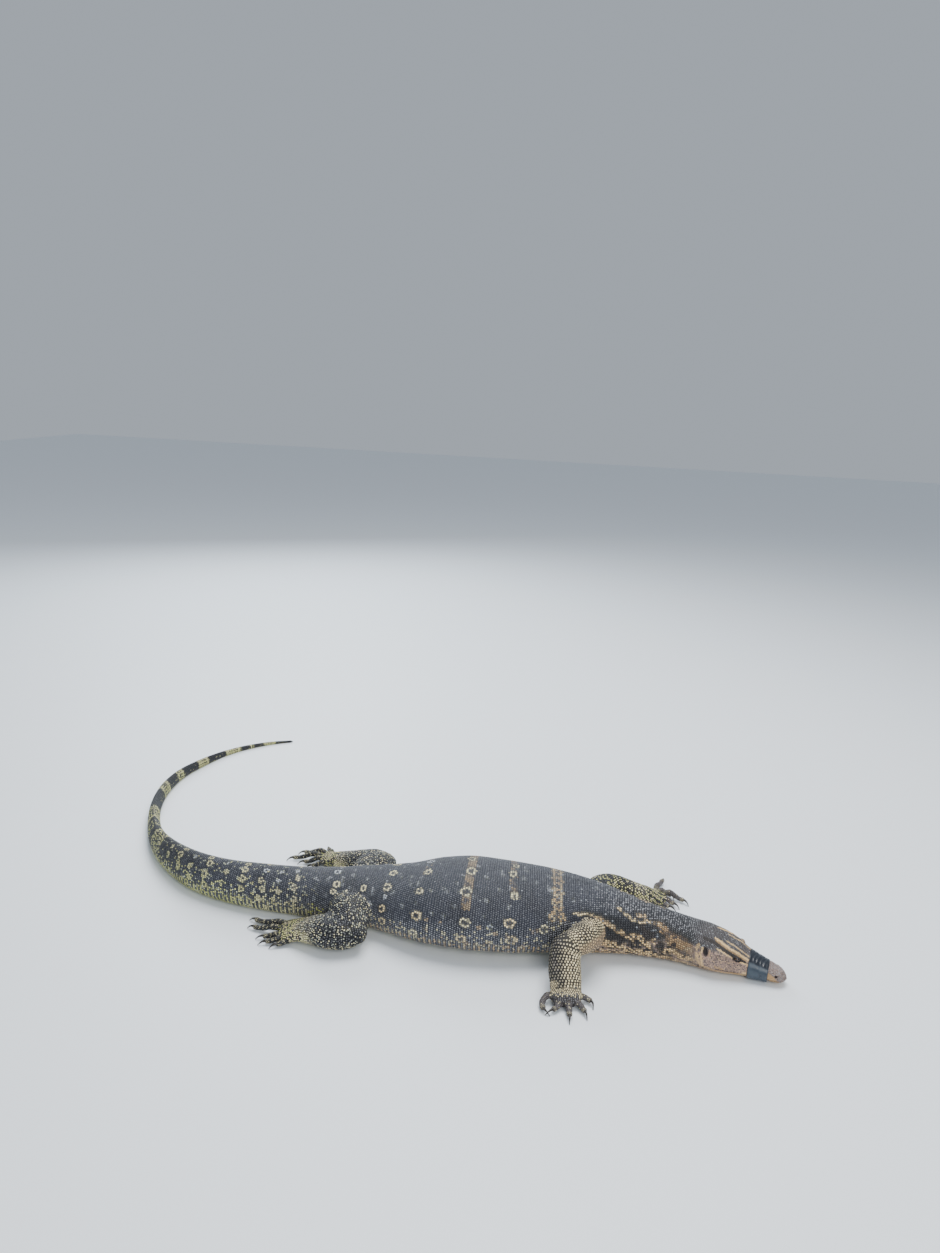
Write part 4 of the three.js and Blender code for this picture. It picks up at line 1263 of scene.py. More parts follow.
def neck_ground(s, angle, values, chance, here, grain, ragged):
    """Brown cheeks, a dark side with cold specks, and a tan lower side."""
    around = np.degrees(np.abs(angle))
    cheeks = here * grow(205, 165, s + 8 * ragged) * grow(52, 70, around)
    draw_to(values, cheeks, ground=0.72)
    draw_to(values, 0.6 * cheeks, crest=0)
    blend_in(values, cheeks * (chance < 0.34 + 0.2 * grain), 0.6,
             np.where(chance < 0.2, PINK, TAN))
    dark_side = here * grow(36, 52, around) * (1 - cheeks) * grow(322, 300, s)
    draw_to(values, dark_side, ground=0.17)
    draw_to(values, 0.75 * dark_side, crest=0)
    cold = 0.04 + 0.36 * bump(s, 201, 15) * bump(around, 51, 13)
    blend_in(values, here * (chance < cold), 0.36, COLD)
    low_side = grow(82, 94, around) * grow(306, 288, s)
    low_side = np.maximum(low_side, grow(64, 78, around) * grow(214, 196, s)) * here
    draw_to(values, low_side, ground=0.74)
    blend_in(values, low_side * (chance < 0.7 + 0.3 * grain), 0.95,
             np.where(chance < 0.4, 0.7, 0.86))


def neck_stripe(s, near, values, chance, stripe, here, grain, ragged):
    """One pale stripe with a dark rim, and a row of dark dots along the middle of a slim one."""
    width, pale, sort, line = stripe
    far = along_line(s, near, line) + ragged
    edge = grow(width * 0.9, width * 1.2, far)
    edge = edge * fade(width * 1.5 + 1, width * 1.9 + 2, far)
    blend_in(values, here * 0.85 * edge, 0.02, YELLOW)
    draw_to(values, 0.7 * here * edge, crest=0)
    inside = fade(width * 0.8, width * 1.1, far)
    rare = 0.3 if width > 5 else 0.02
    holed = grow(rare, rare + 0.06, chance + 0.10 * grain)
    if 2.2 < width < 5:
        holed = holed * (1 - grow(1.9, 1.5, far - ragged) * (np.sin(s * 0.85) > 0.15))
    blend_in(values, here * inside * holed, pale, sort)
    draw_to(values, here * inside, ground=0.36)


def neck_marks(s, angle, values, chance):
    near = -np.abs(angle)
    around = np.degrees(-near)
    here = grow(118, 138, s) * fade(322, 330, s)
    ragged = 1.6 * uneven(s, near, 0.5, 3.0)
    grain = uneven(s, near, 1.1, 8.0)
    neck_ground(s, angle, values, chance, here, grain, ragged)
    for stripe in NECK_STRIPES:
        neck_stripe(s, near, values, chance, stripe, here, grain, ragged)
    net = uneven(s, near, 0.55, 12.0) + 0.3 * grain
    netted = here * grow(66, 80, around) * grow(150, 175, s)
    netted = netted * grow(0.16, 0.3, net)
    blend_in(values, 0.95 * netted, 0.02, TAN)
    draw_to(values, netted, ground=BLACK)
    for at, degree, radius in NECK_BLOTS:
        far = np.hypot(s - at, (near - math.radians(degree)) * girdle(s)) + ragged
        dark = here * 0.95 * fade(radius * 0.75, radius * 1.05, far)
        blend_in(values, dark * (chance > 0.08), 0.03, TAN)
        draw_to(values, dark, ground=BLACK)
    # Painted shade along the fold over the near shoulder: no pale and no crest there.
    fold = (near + np.radians(np.interp(s, *np.array(NECK_FOLD).T))) * girdle(s)
    crease = here * fade(3.0, 4.6, np.abs(fold + 1)) * grow(262, 274, s)
    draw_to(values, crease, pale=0, crest=0)
    throat = here * grow(104, 122, around)
    blend_in(values, throat * grow(0.35, 0.0, net) * grow(-0.6, -0.1, grain), 0.85,
             np.where(chance > 0.6, TAN, PINK))


print("stripes of the neck:", len(NECK_STRIPES), "and blots:", len(NECK_BLOTS))

# %% Stripes of the head
# Each row: width, paleness, sort, line of [distance, degrees] points.
HEAD_STRIPES = [
    [2.2, 0.7, TAN, [[102, -27], [84, -36], [70, -41], [58, -44]]],
    [1.9, 1.0, PINK, [[104, -19], [98, -21], [82, -32], [67, -35], [54, -37]]],
    [1.2, 0.75, PINK, [[88, -11], [69, -17], [55, -20]]],
    [3.1, 0.02, TAN, [[120, -32], [103, -33], [89, -43], [76, -50], [60, -54]]],
    [1.25, 0.95, PINK, [[100, -48], [88, -53], [76, -59], [64, -61], [55, -60]]],
    [2.2, 0.9, TAN, [[64, -112], [74, -112], [86, -116], [98, -112]]],
    [2.6, 1.0, PINK, [[60, -122], [78, -125], [98, -125]]],
    [1.1, 0.05, TAN, [[70, -104], [84, -106], [96, -104]]],
    [1.3, 0.8, TAN, [[88, -96], [100, -92]]],
    [2.2, 0.9, TAN, [[100, -110], [112, -106], [122, -108]]],
    [1.6, 0.05, TAN, [[104, -119], [118, -118], [132, -116]]],
    [3.2, 0.75, PINK, [[57, -98], [60, -108]]],
    [1.6, 0.9, PINK, [[121, -58], [123, -76], [119, -94]]],
    [2.2, 0.7, PINK, [[127, -54], [130, -66]]],
    [2.4, 0.8, PINK, [[129, -78], [126, -94], [118, -104]]],
    [1.2, 0.6, TAN, [[110, -60], [109, -76]]],
    [6.5, 0.9, TAN, [[17, -104], [21, -90], [25, -84]]],
]


def head_marks(s, angle, values, chance):
    near = -np.abs(angle)
    around = np.degrees(-near)
    here = fade(122, 150, s + 8 * wobble(s * 0.2, near * 6, 2))
    ragged = 0.6 * uneven(s, near, 0.9, 3.0)
    grain = uneven(s, near, 1.6, 8.0)
    lower = around + 14 * grow(70, 60, s) - 6 * grow(90, 130, s)
    cheek = here * grow(47, 62, lower)
    snout = here * fade(24, 34, s)
    draw_to(values, here, ground=0.36 + 0.14 * grain + 0.12 * grow(80, 50, s))
    draw_to(values, cheek, ground=0.90 + 0.26 * grain)
    draw_to(values, snout, ground=0.72 + 0.22 * grain)
    draw_to(values, here, crest=0.42 - 0.2 * cheek - 0.15 * snout, pale=0)
    blend_in(values, here * (1 - cheek) * (chance < 0.10), 0.4, COLD)
    blend_in(values, cheek * (chance < 0.16), 0.45, PINK)
    blend_in(values, snout * (chance < 0.5), 0.3, COLD)
    draw_to(values, 0.55 * cheek * (chance > 0.80) * (1 - snout), ground=0)
    for width, pale, sort, line in HEAD_STRIPES:
        far = along_line(s, near, line) + ragged
        inside = here * fade(width * 0.8, width * 1.2, far)
        blend_in(values, inside, pale, sort)
        if pale < 0.1:
            draw_to(values, inside, ground=0.30)
            draw_to(values, 0.9 * inside, crest=0)
    throat = here * grow(116, 130, around)
    blend_in(values, throat * grow(-0.3, 0.2, grain + 0.2), 0.75, PINK)


def body_marks(s, angle, chance):
    """The chance is one number from 0 to 1 for each scale, which decides whether it is pale."""
    values = dict(pale=np.zeros(s.shape), sort=np.full(s.shape, YELLOW))
    around = np.degrees(np.abs(angle))
    tail = grow(880, 1060, s)
    values["ground"] = 0.06 * grow(0.3, 0.9, wobble(s * 0.05, angle * 2, 5))
    # Towards black on the tail and the front of the neck; the lighter slate elsewhere is partly
    # painted sheen.
    values["ground"] += 0.14 * fade(200, 300, s) + 0.16 * tail
    nape = grow(112, 140, s) * fade(250, 320, s)
    nape = nape * fade(34, 48, around)
    # The lighter crest of each scale is a painted highlight, and where it is strong, grey speckling.
    crest = (0.16 + 0.10 * grow(50, 90, around)) * (0.45 + 1.1 * chance) * (1 - 0.6 * tail)
    values["crest"] = crest * (1 - 0.5 * nape) + nape * (0.06 + 0.8 * grow(0.25, 0.9, chance))
    fleck_marks(s, angle, values)
    for lay_marks in (trunk_marks, tail_marks, neck_marks, head_marks):
        lay_marks(s, angle, values, chance)
    return values


print("stripes of the head:", len(HEAD_STRIPES))

# %% Markings of the legs
def near_foreleg(values, sweep, spot, chance):
    """Tan and cream grains, paler on the lit front as painted light, with a dull pit at the elbow's
    fold.
    """
    ahead, up = spot["out"][..., 0], spot["out"][..., 2]
    # Painted light: more and paler grains on the lit front, and more grey crest on the shaded back.
    lit = grow(-0.75, 0.35, ahead)
    blend_in(values, np.clip(0.5 + 0.5 * lit, 0, 1), 0.46 + 0.5 * lit - 0.25 * chance,
             0.54 + 0.08 * chance)
    pit = grow(0.3, 0.95, ahead) * grow(0.6, 0.2, up) * ("bone0" in sweep.name)
    values["crest"] += 0.10 * (1 - lit)
    values["ground"] += 0.05 + 0.36 * pit
    draw_to(values, pit, sort=0.78)
    draw_to(values, 0.3 * pit, pale=0)


def far_foreleg(values, sweep, spot, chance):
    rows = 0.5 + 0.5 * np.sin(TURN * (spot["walk"] / 8.4 + spot["angle"] * 0.8))
    rows = grow(0.15, 0.5, rows)
    lit = grow(0.05, 0.5, spot["share"] - (0 if "bone1" in sweep.name else 0.4))
    blend_in(values, (chance < 0.45 + 0.5 * lit * rows) * 1.0, 0.7 + 0.3 * lit,
             np.where(chance < 0.4, 0.36, YELLOW))
    values["ground"] += 0.3 * lit * rows


def hindleg(values, sweep, spot, chance):
    share, up = spot["share"], spot["out"][..., 2]
    shin = "bone1" in sweep.name
    few = 0.42 + 0.1 * spot["patch"] - 0.06 * bump(share, 0.5, 0.3) * shin
    values["crest"] += 0.12
    blend_in(values, (chance < few) * 1.0, 0.45 + chance, np.where(chance < 0.2, 0.08, 0.5))
    bars = grow(0.4, 0.6, 0.5 + 0.5 * np.sin(TURN * spot["walk"] / 7.6))
    blend_in(values, grow(-0.1, -0.55, up) * bars, 0.9, YELLOW)
    heel = grow(0.56, 0.84, share) * (0.2 + 0.8 * grow(0.6, 0.0, up)) * shin
    blend_in(values, heel * (chance < 0.94), 1.0, np.where(chance < 0.5, 0.36, YELLOW))
    values["ground"] += 0.42 * heel


def palm(values, sweep, spot, chance):
    part, sort = 0.66 + 0.2 * spot["grain"], np.where(chance < 0.4, 0.32, 0.56)
    if "fore" in sweep.name:
        streaks = 0.5 + 0.5 * np.sin(spot["angle"] * 9 + 0.15 * spot["walk"])
        part = 0.2 + 0.7 * grow(0.3, 0.7, streaks)
    if "forefoot_right" in sweep.name:  # the pale grains of the wrist thin out to the toes
        part = 0.96 - 0.9 * grow(0.5, 1.0, spot["share"] + 0.1 * spot["grain"])
        sort = 0.54 + 0.1 * chance
        values["ground"] += 0.16
        values["crest"] += 0.14
    blend_in(values, (chance < part) * 1.0, 0.85, sort)


def toe(values, sweep, spot, chance):
    fore, share = "fore" in sweep.name, spot["share"]
    rows = 0.5 + 0.5 * np.sin(TURN * spot["walk"] / 7.0)
    spots = (chance < (0.16 if fore else 0.55)) * grow(0.2, 0.6, rows)
    blend_in(values, spots * grow(-0.4, 0.2, spot["out"][..., 2]), 0.7, YELLOW)
    blend_in(values, fade(0.0, 0.3, share) * (chance < 0.5), 0.6, GREEN)
    blend_in(values, bump(share, 1.0, 0.07), 0.5, YELLOW)
    values["ground"][...] = 0.42 if fore else BLACK
    values["crest"] += (0.16 if fore else 0.0)


LIMB_RULES = {"foreleg_right": near_foreleg, "foreleg_left": far_foreleg, "hindleg": hindleg,
              "palm": palm, "toe": toe}


def limb_marks(sweep, walk, angle, point, chance):
    course = course_points(sweep.stations, np.interp(walk, sweep.walk_table, sweep.t_table))
    away = np.maximum(np.linalg.norm(point - course, axis=-1), 1e-6)[..., None]
    x, y, z = point[..., 0], point[..., 1], point[..., 2]
    spot = dict(walk=walk, angle=angle, share=walk / sweep.length, out=(point - course) / away,
                grain=wobble(x * 0.4, y * 0.4 + z * 0.3, 4.0),
                patch=wobble(x * 0.16, y * 0.16 + z * 0.12, 9.0))
    # On the legs too, the crest of each scale carries a painted highlight.
    values = dict(pale=np.zeros(walk.shape), sort=np.full(walk.shape, YELLOW),
                  ground=np.full(walk.shape, 0.17), crest=0.04 + 0.2 * chance)
    by_kind(LIMB_RULES, sweep.name)(values, sweep, spot, chance)
    return values


print("rules for limbs:", list(LIMB_RULES))

# %% [markdown]
# ## Where the scales go
# A monitor's scales lie side by side in rings round the body: small and rectangular on the
# trunk, coarse on the nape, long in rings on the tail, round beads on the legs and a fine
# mosaic on the head. They could be scattered at random, but real ones keep rows, so they are
# counted off along each ring from the middle of the back, every other ring shifted by half.
# Each root is then dropped on the finished skin, and those inside another part are left out.

# %% Rings of scales on the body and the legs
# Each row: distance between scales, how far they stray as a share of that, height.
LIMB_SCALES = {"foreleg": (4.0, 0.10, 0.85), "hindleg": (3.0, 0.30, 0.6),
               "palm": (2.7, 0.2, 0.5), "toe": (2.2, 0.15, 0.38)}
NESTED = 0.87  # distance between rings of beads as a share, so that they nest in each other
draw = np.random.default_rng(5)


def arc_of(points):
    return np.concatenate([[0], np.cumsum(np.linalg.norm(np.diff(points, axis=0), axis=1))])


def ring_angles(s, row):
    """Angles of the scales round one ring, counted off by arc from the middle of the back."""
    angles = np.linspace(0, math.pi, 160)
    arc = arc_of(body_point(np.full(160, s), angles, detail=False))
    pitch = float(width_pitch(s))
    count = max(int(arc[-1] / pitch), 1)
    marks = (np.arange(count + 1) + (0.5 if row % 2 else 0.0)) * pitch
    marks = marks[marks < arc[-1] - 0.3 * pitch]
    half = np.interp(marks, arc, angles)
    return np.concatenate([half, -half[half > 0]])


def body_lattice():
    rings = [(s, ring_angles(s, row)) for row, s in enumerate(RING_PLACES)]
    return np.vstack([np.column_stack([np.full(len(angles), s), angles]) for s, angles in rings])


def limb_lattice(sweep, pitch, stray):
    rows = []
    for row in range(int(sweep.full / (NESTED * pitch))):
        walk = (row + 0.5) * NESTED * pitch
        angles = np.linspace(0, TURN, 121)
        arc = arc_of(sweep.point(np.full(121, walk), angles))
        count = max(int(arc[-1] / (1.1 * pitch)), 3)
        marks = (np.arange(count) + (row % 2) * 0.5) * arc[-1] / count
        rows.append(np.column_stack([np.full(count, walk), np.interp(marks, arc, angles)]))
    places = np.vstack(rows)
    off = stray * pitch * draw.uniform(-1, 1, places.shape)
    reach = np.maximum(sweep.across(np.clip(places[:, 0] / sweep.full, 0, 1)), 3)
    return places + off / np.column_stack([np.ones(len(places)), reach])


def end_disc(sweep, pitch, t):
    """Places on a blunt end of a sweep: distance in from its rim, and angle."""
    rim = sweep.point(np.full(24, t * sweep.full), np.linspace(0, TURN, 24, endpoint=False))
    reach = float(np.linalg.norm(rim - rim.mean(axis=0), axis=1).mean())
    places = []
    for row in range(int(reach / pitch)):
        inward = (row + 0.6) * pitch
        count = max(int(TURN * (reach - inward) / pitch), 1)
        places += [[inward / reach, TURN * (i + row * 0.5) / count] for i in range(count)]
    return np.array(places).reshape(-1, 2)

# %% Drop the roots on the skin
skin_points, face_corners = vertex_array(skin_mesh), [list(p.vertices) for p in skin_mesh.polygons]
skin_faces_part = part_of_faces(skin_mesh)
skin_tree = BVHTree.FromPolygons([tuple(p) for p in skin_points], face_corners)
corner_normals = read_all(skin_mesh.vertices, "normal", float, 3)
DROP_BODY, DROP_LIMB = 3.5, 7.0  # how far a root may lie from the skin


def drop(points, part, reach):
    """Nearest places on the skin, their normals, and which of the points have one in reach."""
    roots, normals = points.copy(), np.zeros_like(points)
    kept = np.zeros(len(points), bool)
    for i, point in enumerate(points):
        place, _, face, far = skin_tree.find_nearest(Vector(point * MM))
        if face is None or far > reach * MM or skin_faces_part[face] != part:
            continue
        corners = face_corners[face]
        away = np.linalg.norm(skin_points[corners] - np.array(place), axis=1) + 1e-5
        normal = (corner_normals[corners] / away[:, None]).sum(0)
        normals[i] = normal / np.linalg.norm(normal)
        roots[i] = np.array(place) / MM
        kept[i] = True
    return roots, normals, kept


print("corners of the skin:", len(corner_normals))

# %% Scales of the body and the legs
BAND = {"from": 26, "to": 54.5, "thick": 0.9}  # where the tape lies, for the scales it hides


def no_scales(s, points):
    """True where the head has none: in the ear, nostril, eye and mouth, and under the tape."""
    z = points[:, 2]
    bare = (oval(s, z, EAR) < 0.95) | (oval(s, z, NOSTRIL) < 1.0)
    bare |= (np.abs(z - mouth_at(s)) < 0.75) & (s < MOUTH_CORNER)
    bare |= (s > BAND["from"] + 2) & (s < BAND["to"] - 2)
    return bare | (eye_slit(points, 1) < 1.22) | (eye_slit(points, -1) < 1.22)


def scale_table(roots, normals, ahead, size, spin, place, along, marks):
    """All that one batch of scales needs, with each scale's lie flat on the skin."""
    flat = ahead - (ahead * normals).sum(1)[:, None] * normals
    lie = flat / np.maximum(np.linalg.norm(flat, axis=1), 1e-9)[:, None]
    return dict(root=roots, normal=normals, lie=lie, size=size, spin=spin, place=place,
                along=along, **marks)


def body_scales():
    s, angle = body_lattice().T
    s = s + draw.uniform(-0.12, 0.12, len(s)) * ring_pitch(s)
    points = body_point(s, angle)
    ahead = body_point(s + 1, angle, detail=False) - body_point(s - 1, angle, detail=False)
    roots, normals, kept = drop(points, 0, DROP_BODY)
    kept &= ~no_scales(s, roots)
    size = np.column_stack([ring_pitch(s) * 1.10, width_pitch(s) * 1.04, body_rise(s)])
    size *= draw.uniform(0.9, 1.08, (len(s), 1))
    spin = fade(120, 150, s) * draw.uniform(-0.5, 0.5, len(s))
    marks = body_marks(s, angle, draw.uniform(0, 1, len(s)))
    place = hide_place(0, s, angle)
    return pick(scale_table(roots, normals, ahead, size, spin, place, s, marks), kept)


def limb_scales(index):
    sweep = sweeps[index]
    pitch, stray, rise = by_kind(LIMB_SCALES, sweep.name)
    walk, angle = limb_lattice(sweep, pitch, stray).T
    points = sweep.point(walk, angle)
    ahead = sweep.point(walk + 1, angle) - sweep.point(np.maximum(walk - 1, 0), angle)
    for bone, t in (("bone1", 0.0), ("bone0", 1.0)):
        if bone not in sweep.name:
            continue
        inward, around = end_disc(sweep, pitch, t).T
        end = np.full(len(around), t * sweep.full)
        rim, far_rim = sweep.point(end, around), sweep.point(end, around + math.pi)
        points = np.vstack([points, rim + 0.5 * (far_rim - rim) * inward[:, None]])
        ahead = np.vstack([ahead, far_rim - rim])
        walk = np.concatenate([walk, end + (0.5 - t) * inward])
        angle = np.concatenate([angle, around])
    roots, normals, kept = drop(points, index + 1, DROP_LIMB)
    marks = limb_marks(sweep, walk, angle, points, draw.uniform(0, 1, len(walk)))
    size = np.tile([pitch * 1.24, pitch * 1.14, rise], (len(walk), 1))
    size *= draw.uniform(0.88, 1.06, (len(walk), 1))
    spin = draw.uniform(-0.15, 0.15, len(walk))
    place = hide_place(index + 1, walk, angle)
    return pick(scale_table(roots, normals, ahead, size, spin, place, walk, marks), kept)


def gather(batches):
    return {name: np.concatenate([batch[name] for batch in batches]) for name in batches[0]}


on_body = body_scales()
on_limbs = [limb_scales(index) for index in range(len(sweeps))]
print("scales on the body:", len(on_body["along"]))
print("scales on the legs:", sum(len(batch["along"]) for batch in on_limbs))

# %% [markdown]
# ## Laying the scales
# One small dome per scale would be heavy if each were modelled, so a few low shapes stand for
# all: a rounded brick for the back, a bead for the legs and a flat many-sided plate for the
# head. Geometry Nodes put the shape on every root, turned to its lie and stretched to its
# size, and make the copies real. Each scale's little patch on the hide's map goes with it.

# %% Shapes of a scale
def scale_shape(name, sides, squareness, levels, keel):
    """A unit scale that lies along +X and rises along +Z. Levels are [share of reach, height]."""
    points = []
    for reach, height in levels:
        for i in range(sides):
            a = TURN * (i + 0.5) / sides
            x, y = (math.copysign(abs(c) ** (2 / squareness), c) * 0.5 * reach
                    for c in (math.cos(a), math.sin(a)))
            points.append((x, y, height * (1 + keel * (1 - abs(2 * y)) * (reach < 0.9))))
    faces = tube_faces(len(levels), sides)
    top, last = len(points), (len(levels) - 1) * sides
    points.append((0.06, 0, 1 + keel))
    faces += [[last + i, last + (i + 1) % sides, top] for i in range(sides)]
    mesh = mesh_of(name, points, faces)
    write_layer(mesh, "patch", np.array(points), "FLOAT_VECTOR")
    rim = np.repeat([reach for reach, _ in levels] + [0.0], [sides] * len(levels) + [1])
    write_layer(mesh, "rim", rim)
    mesh.shade_smooth()
    return bpy.data.objects.new(name, mesh)


back_scale = scale_shape("back_scale", 8, 3.4, [[1.0, -0.45], [0.80, 0.62]], 0.25)
tail_scale = scale_shape("tail_scale", 8, 4.5, [[1.0, -0.45], [0.82, 0.6]], 0.45)
bead_scale = scale_shape("bead_scale", 8, 2.0, [[1.0, -0.3], [0.82, 0.45], [0.5, 0.88]], 0.0)
head_scale = scale_shape("head_scale", 6, 2.0, [[1.0, -0.45], [0.78, 0.72]], 0.0)
print("faces a scale:", [len(o.data.polygons) for o in (back_scale, bead_scale, head_scale)])

# %% The node tree that lays them
PATCH = 0.003  # side of a scale's patch on the map


def feed(tree, node, feeds):
    """Gives each input of a node its value, or a link from the socket that feeds it."""
    for key, value in feeds.items():
        if isinstance(value, bpy.types.NodeSocket):
            tree.links.new(value, node.inputs[key])
        else:
            node.inputs[key].default_value = value


def add_node(tree, kind, feeds=None, **settings):
    node = tree.nodes.new(kind)
    for key, value in settings.items():
        setattr(node, key, value)
    feed(tree, node, feeds or {})
    return node


def laying_tree():
    tree = bpy.data.node_groups.new("lay scales", "GeometryNodeTree")
    for name, way, kind in (("Roots", "INPUT", "Geometry"), ("Shape", "INPUT", "Object"),
                            ("Finish", "INPUT", "Material"), ("Patch", "INPUT", "Float"),
                            ("Scales", "OUTPUT", "Geometry")):
        tree.interface.new_socket(name, in_out=way, socket_type="NodeSocket" + kind)

    def made(kind, output, feeds, **settings):
        return add_node(tree, kind, feeds, **settings).outputs[output]

    def named(name):
        return made("GeometryNodeInputNamedAttribute", "Attribute", {"Name": name},
                    data_type="FLOAT_VECTOR")

    start = add_node(tree, "NodeGroupInput").outputs
    shape = made("GeometryNodeObjectInfo", "Geometry", {"Object": start["Shape"]})
    turn = made("FunctionNodeAxesToRotation", "Rotation",
                {"Primary Axis": named("normal"), "Secondary Axis": named("lie")},
                primary_axis="Z", secondary_axis="X")
    laid = made("GeometryNodeInstanceOnPoints", "Instances",
                {"Points": start["Roots"], "Instance": shape, "Rotation": turn,
                 "Scale": named("size")})
    real = made("GeometryNodeRealizeInstances", "Geometry", {"Geometry": laid})
    patch = made("ShaderNodeVectorMath", "Vector", {0: named("patch"), "Scale": start["Patch"]},
                 operation="SCALE")
    spot = made("ShaderNodeVectorMath", "Vector", {0: patch, 1: named("place")}, operation="ADD")
    mapped = made("GeometryNodeStoreNamedAttribute", "Geometry",
                  {"Geometry": real, "Name": "OFBake", "Value": spot},
                  data_type="FLOAT2", domain="CORNER")
    finished = made("GeometryNodeSetMaterial", "Geometry",
                    {"Geometry": mapped, "Material": start["Finish"]})
    add_node(tree, "NodeGroupOutput", {"Scales": finished})
    return tree


laying = laying_tree()
SOCKETS = {item.name: item.identifier for item in laying.interface.items_tree}
print("inputs of the tree:", list(SOCKETS))

# %% Lay one piece of the coat
def turned(lie, normal, spin):
    across = np.cross(normal, lie)
    return lie * np.cos(spin)[:, None] + across * np.sin(spin)[:, None]


def fill_map(place):
    """The piece's own part of the hide's map, stretched to fill it."""
    low, high = place.min(0), place.max(0)
    return 0.01 + 0.98 * (place - low) / np.maximum(high - low, 1e-6)


def lay_scales(name, data, shape, material, slot):
    points = mesh_of(name, (data["root"] * MM).tolist(), [])
    vectors = dict(normal=data["normal"], lie=turned(data["lie"], data["normal"], data["spin"]),
                   size=data["size"] * MM,
                   place=np.pad(fill_map(data["place"]), ((0, 0), (0, 1))))
    for key, value in vectors.items():
        write_layer(points, key, value, "FLOAT_VECTOR")
    for key in ("pale", "sort", "ground", "crest"):
        write_layer(points, key, data[key])
    write_layer(points, "tone", draw.uniform(0, 1, len(data["along"])))
    holder = place_object(name + "_roots", points)
    modifier = holder.modifiers.new("lay scales", "NODES")
    modifier.node_group = laying
    for key, value in (("Shape", shape), ("Finish", material), ("Patch", PATCH)):
        modifier[SOCKETS[key]] = value
    evaluated = holder.evaluated_get(bpy.context.evaluated_depsgraph_get())
    mesh = bpy.data.meshes.new_from_object(evaluated)
    bpy.data.objects.remove(holder)
    for key in (*vectors, "patch"):
        if key in mesh.attributes:
            mesh.attributes.remove(mesh.attributes[key])
    mesh.name = name
    ride_piece(name, mesh, slot)
    print(name, len(data["along"]), "scales,", len(mesh.polygons), "faces")

# %% [markdown]
# ## Finishes of the hide
# Hide is not one colour: every scale is a little lighter or darker than the next, the dark
# skin shows between them, and worn or dusty places lose their gloss. One group of nodes turns
# the markings into colour, roughness and relief, and the skin and each sort of scale have a
# material that uses it, so that a marking never stops at the edge of a scale.

# %% Helpers for finishes
def ramp(tree, mask, stops):
    """Colours that follow a mask. Each stop is a place from 0 to 1 and a colour."""
    node = add_node(tree, "ShaderNodeValToRGB", {"Fac": mask})
    elements = node.color_ramp.elements
    elements.remove(elements[-1])
    elements[0].position, elements[0].color = stops[0][0], (*stops[0][1], 1)
    for at, colour in stops[1:]:
        elements.new(at).color = (*colour, 1)
    return node.outputs["Color"]


def mask_of(tree, key):
    return add_node(tree, "ShaderNodeAttribute", attribute_name=key).outputs["Fac"]


def noise(tree, size, detail=2.0):
    spot = add_node(tree, "ShaderNodeTexCoord").outputs["Object"]
    feeds = {"Vector": spot, "Scale": size, "Detail": detail}
    return add_node(tree, "ShaderNodeTexNoise", feeds).outputs["Fac"]


def mixed(tree, share, first, second):
    node = add_node(tree, "ShaderNodeMix", {"Factor": share, 6: first, 7: second}, data_type="RGBA")
    return node.outputs[2]


def relief(tree, height, strength, distance):
    feeds = {"Height": height, "Strength": strength, "Distance": distance}
    return add_node(tree, "ShaderNodeBump", feeds).outputs["Normal"]


def new_finish(name):
    material = bpy.data.materials.new(name)
    material.use_nodes = True
    tree = material.node_tree
    return material, tree, tree.nodes["Principled BSDF"]

# %% A group of nodes that reads the markings
PALE_SORTS = [(COLD, (0.60, 0.63, 0.67)), (GREEN, (0.74, 0.76, 0.22)),
              (YELLOW, (0.94, 0.85, 0.53)), (PINK, (0.88, 0.60, 0.28)), (TAN, (0.54, 0.33, 0.14))]
GROUND_SORTS = [(0.0, (0.026, 0.029, 0.040)), (BLACK, (0.009, 0.0095, 0.012)),
                (0.35, (0.034, 0.030, 0.031)),
                (0.65, (0.13, 0.100, 0.090)), (1.0, (0.38, 0.25, 0.19))]
# The grey mixed over the crest of a scale: a painted highlight, and grey speckling.
CREST_HIGHLIGHT_AND_SPECK_COLOUR = (0.44, 0.44, 0.465, 1)
CLOUD_SIZE = 38
HIDE_INPUTS = {"Pale": 0, "Sort": 0.5, "Ground": 0, "Tone": 0.5, "Spread": 0.3, "Crest": 0,
               "Rim": 0.5, "Full To": 0.62, "None From": 0.96, "Grain Size": 900, "Gloss": 0.5}


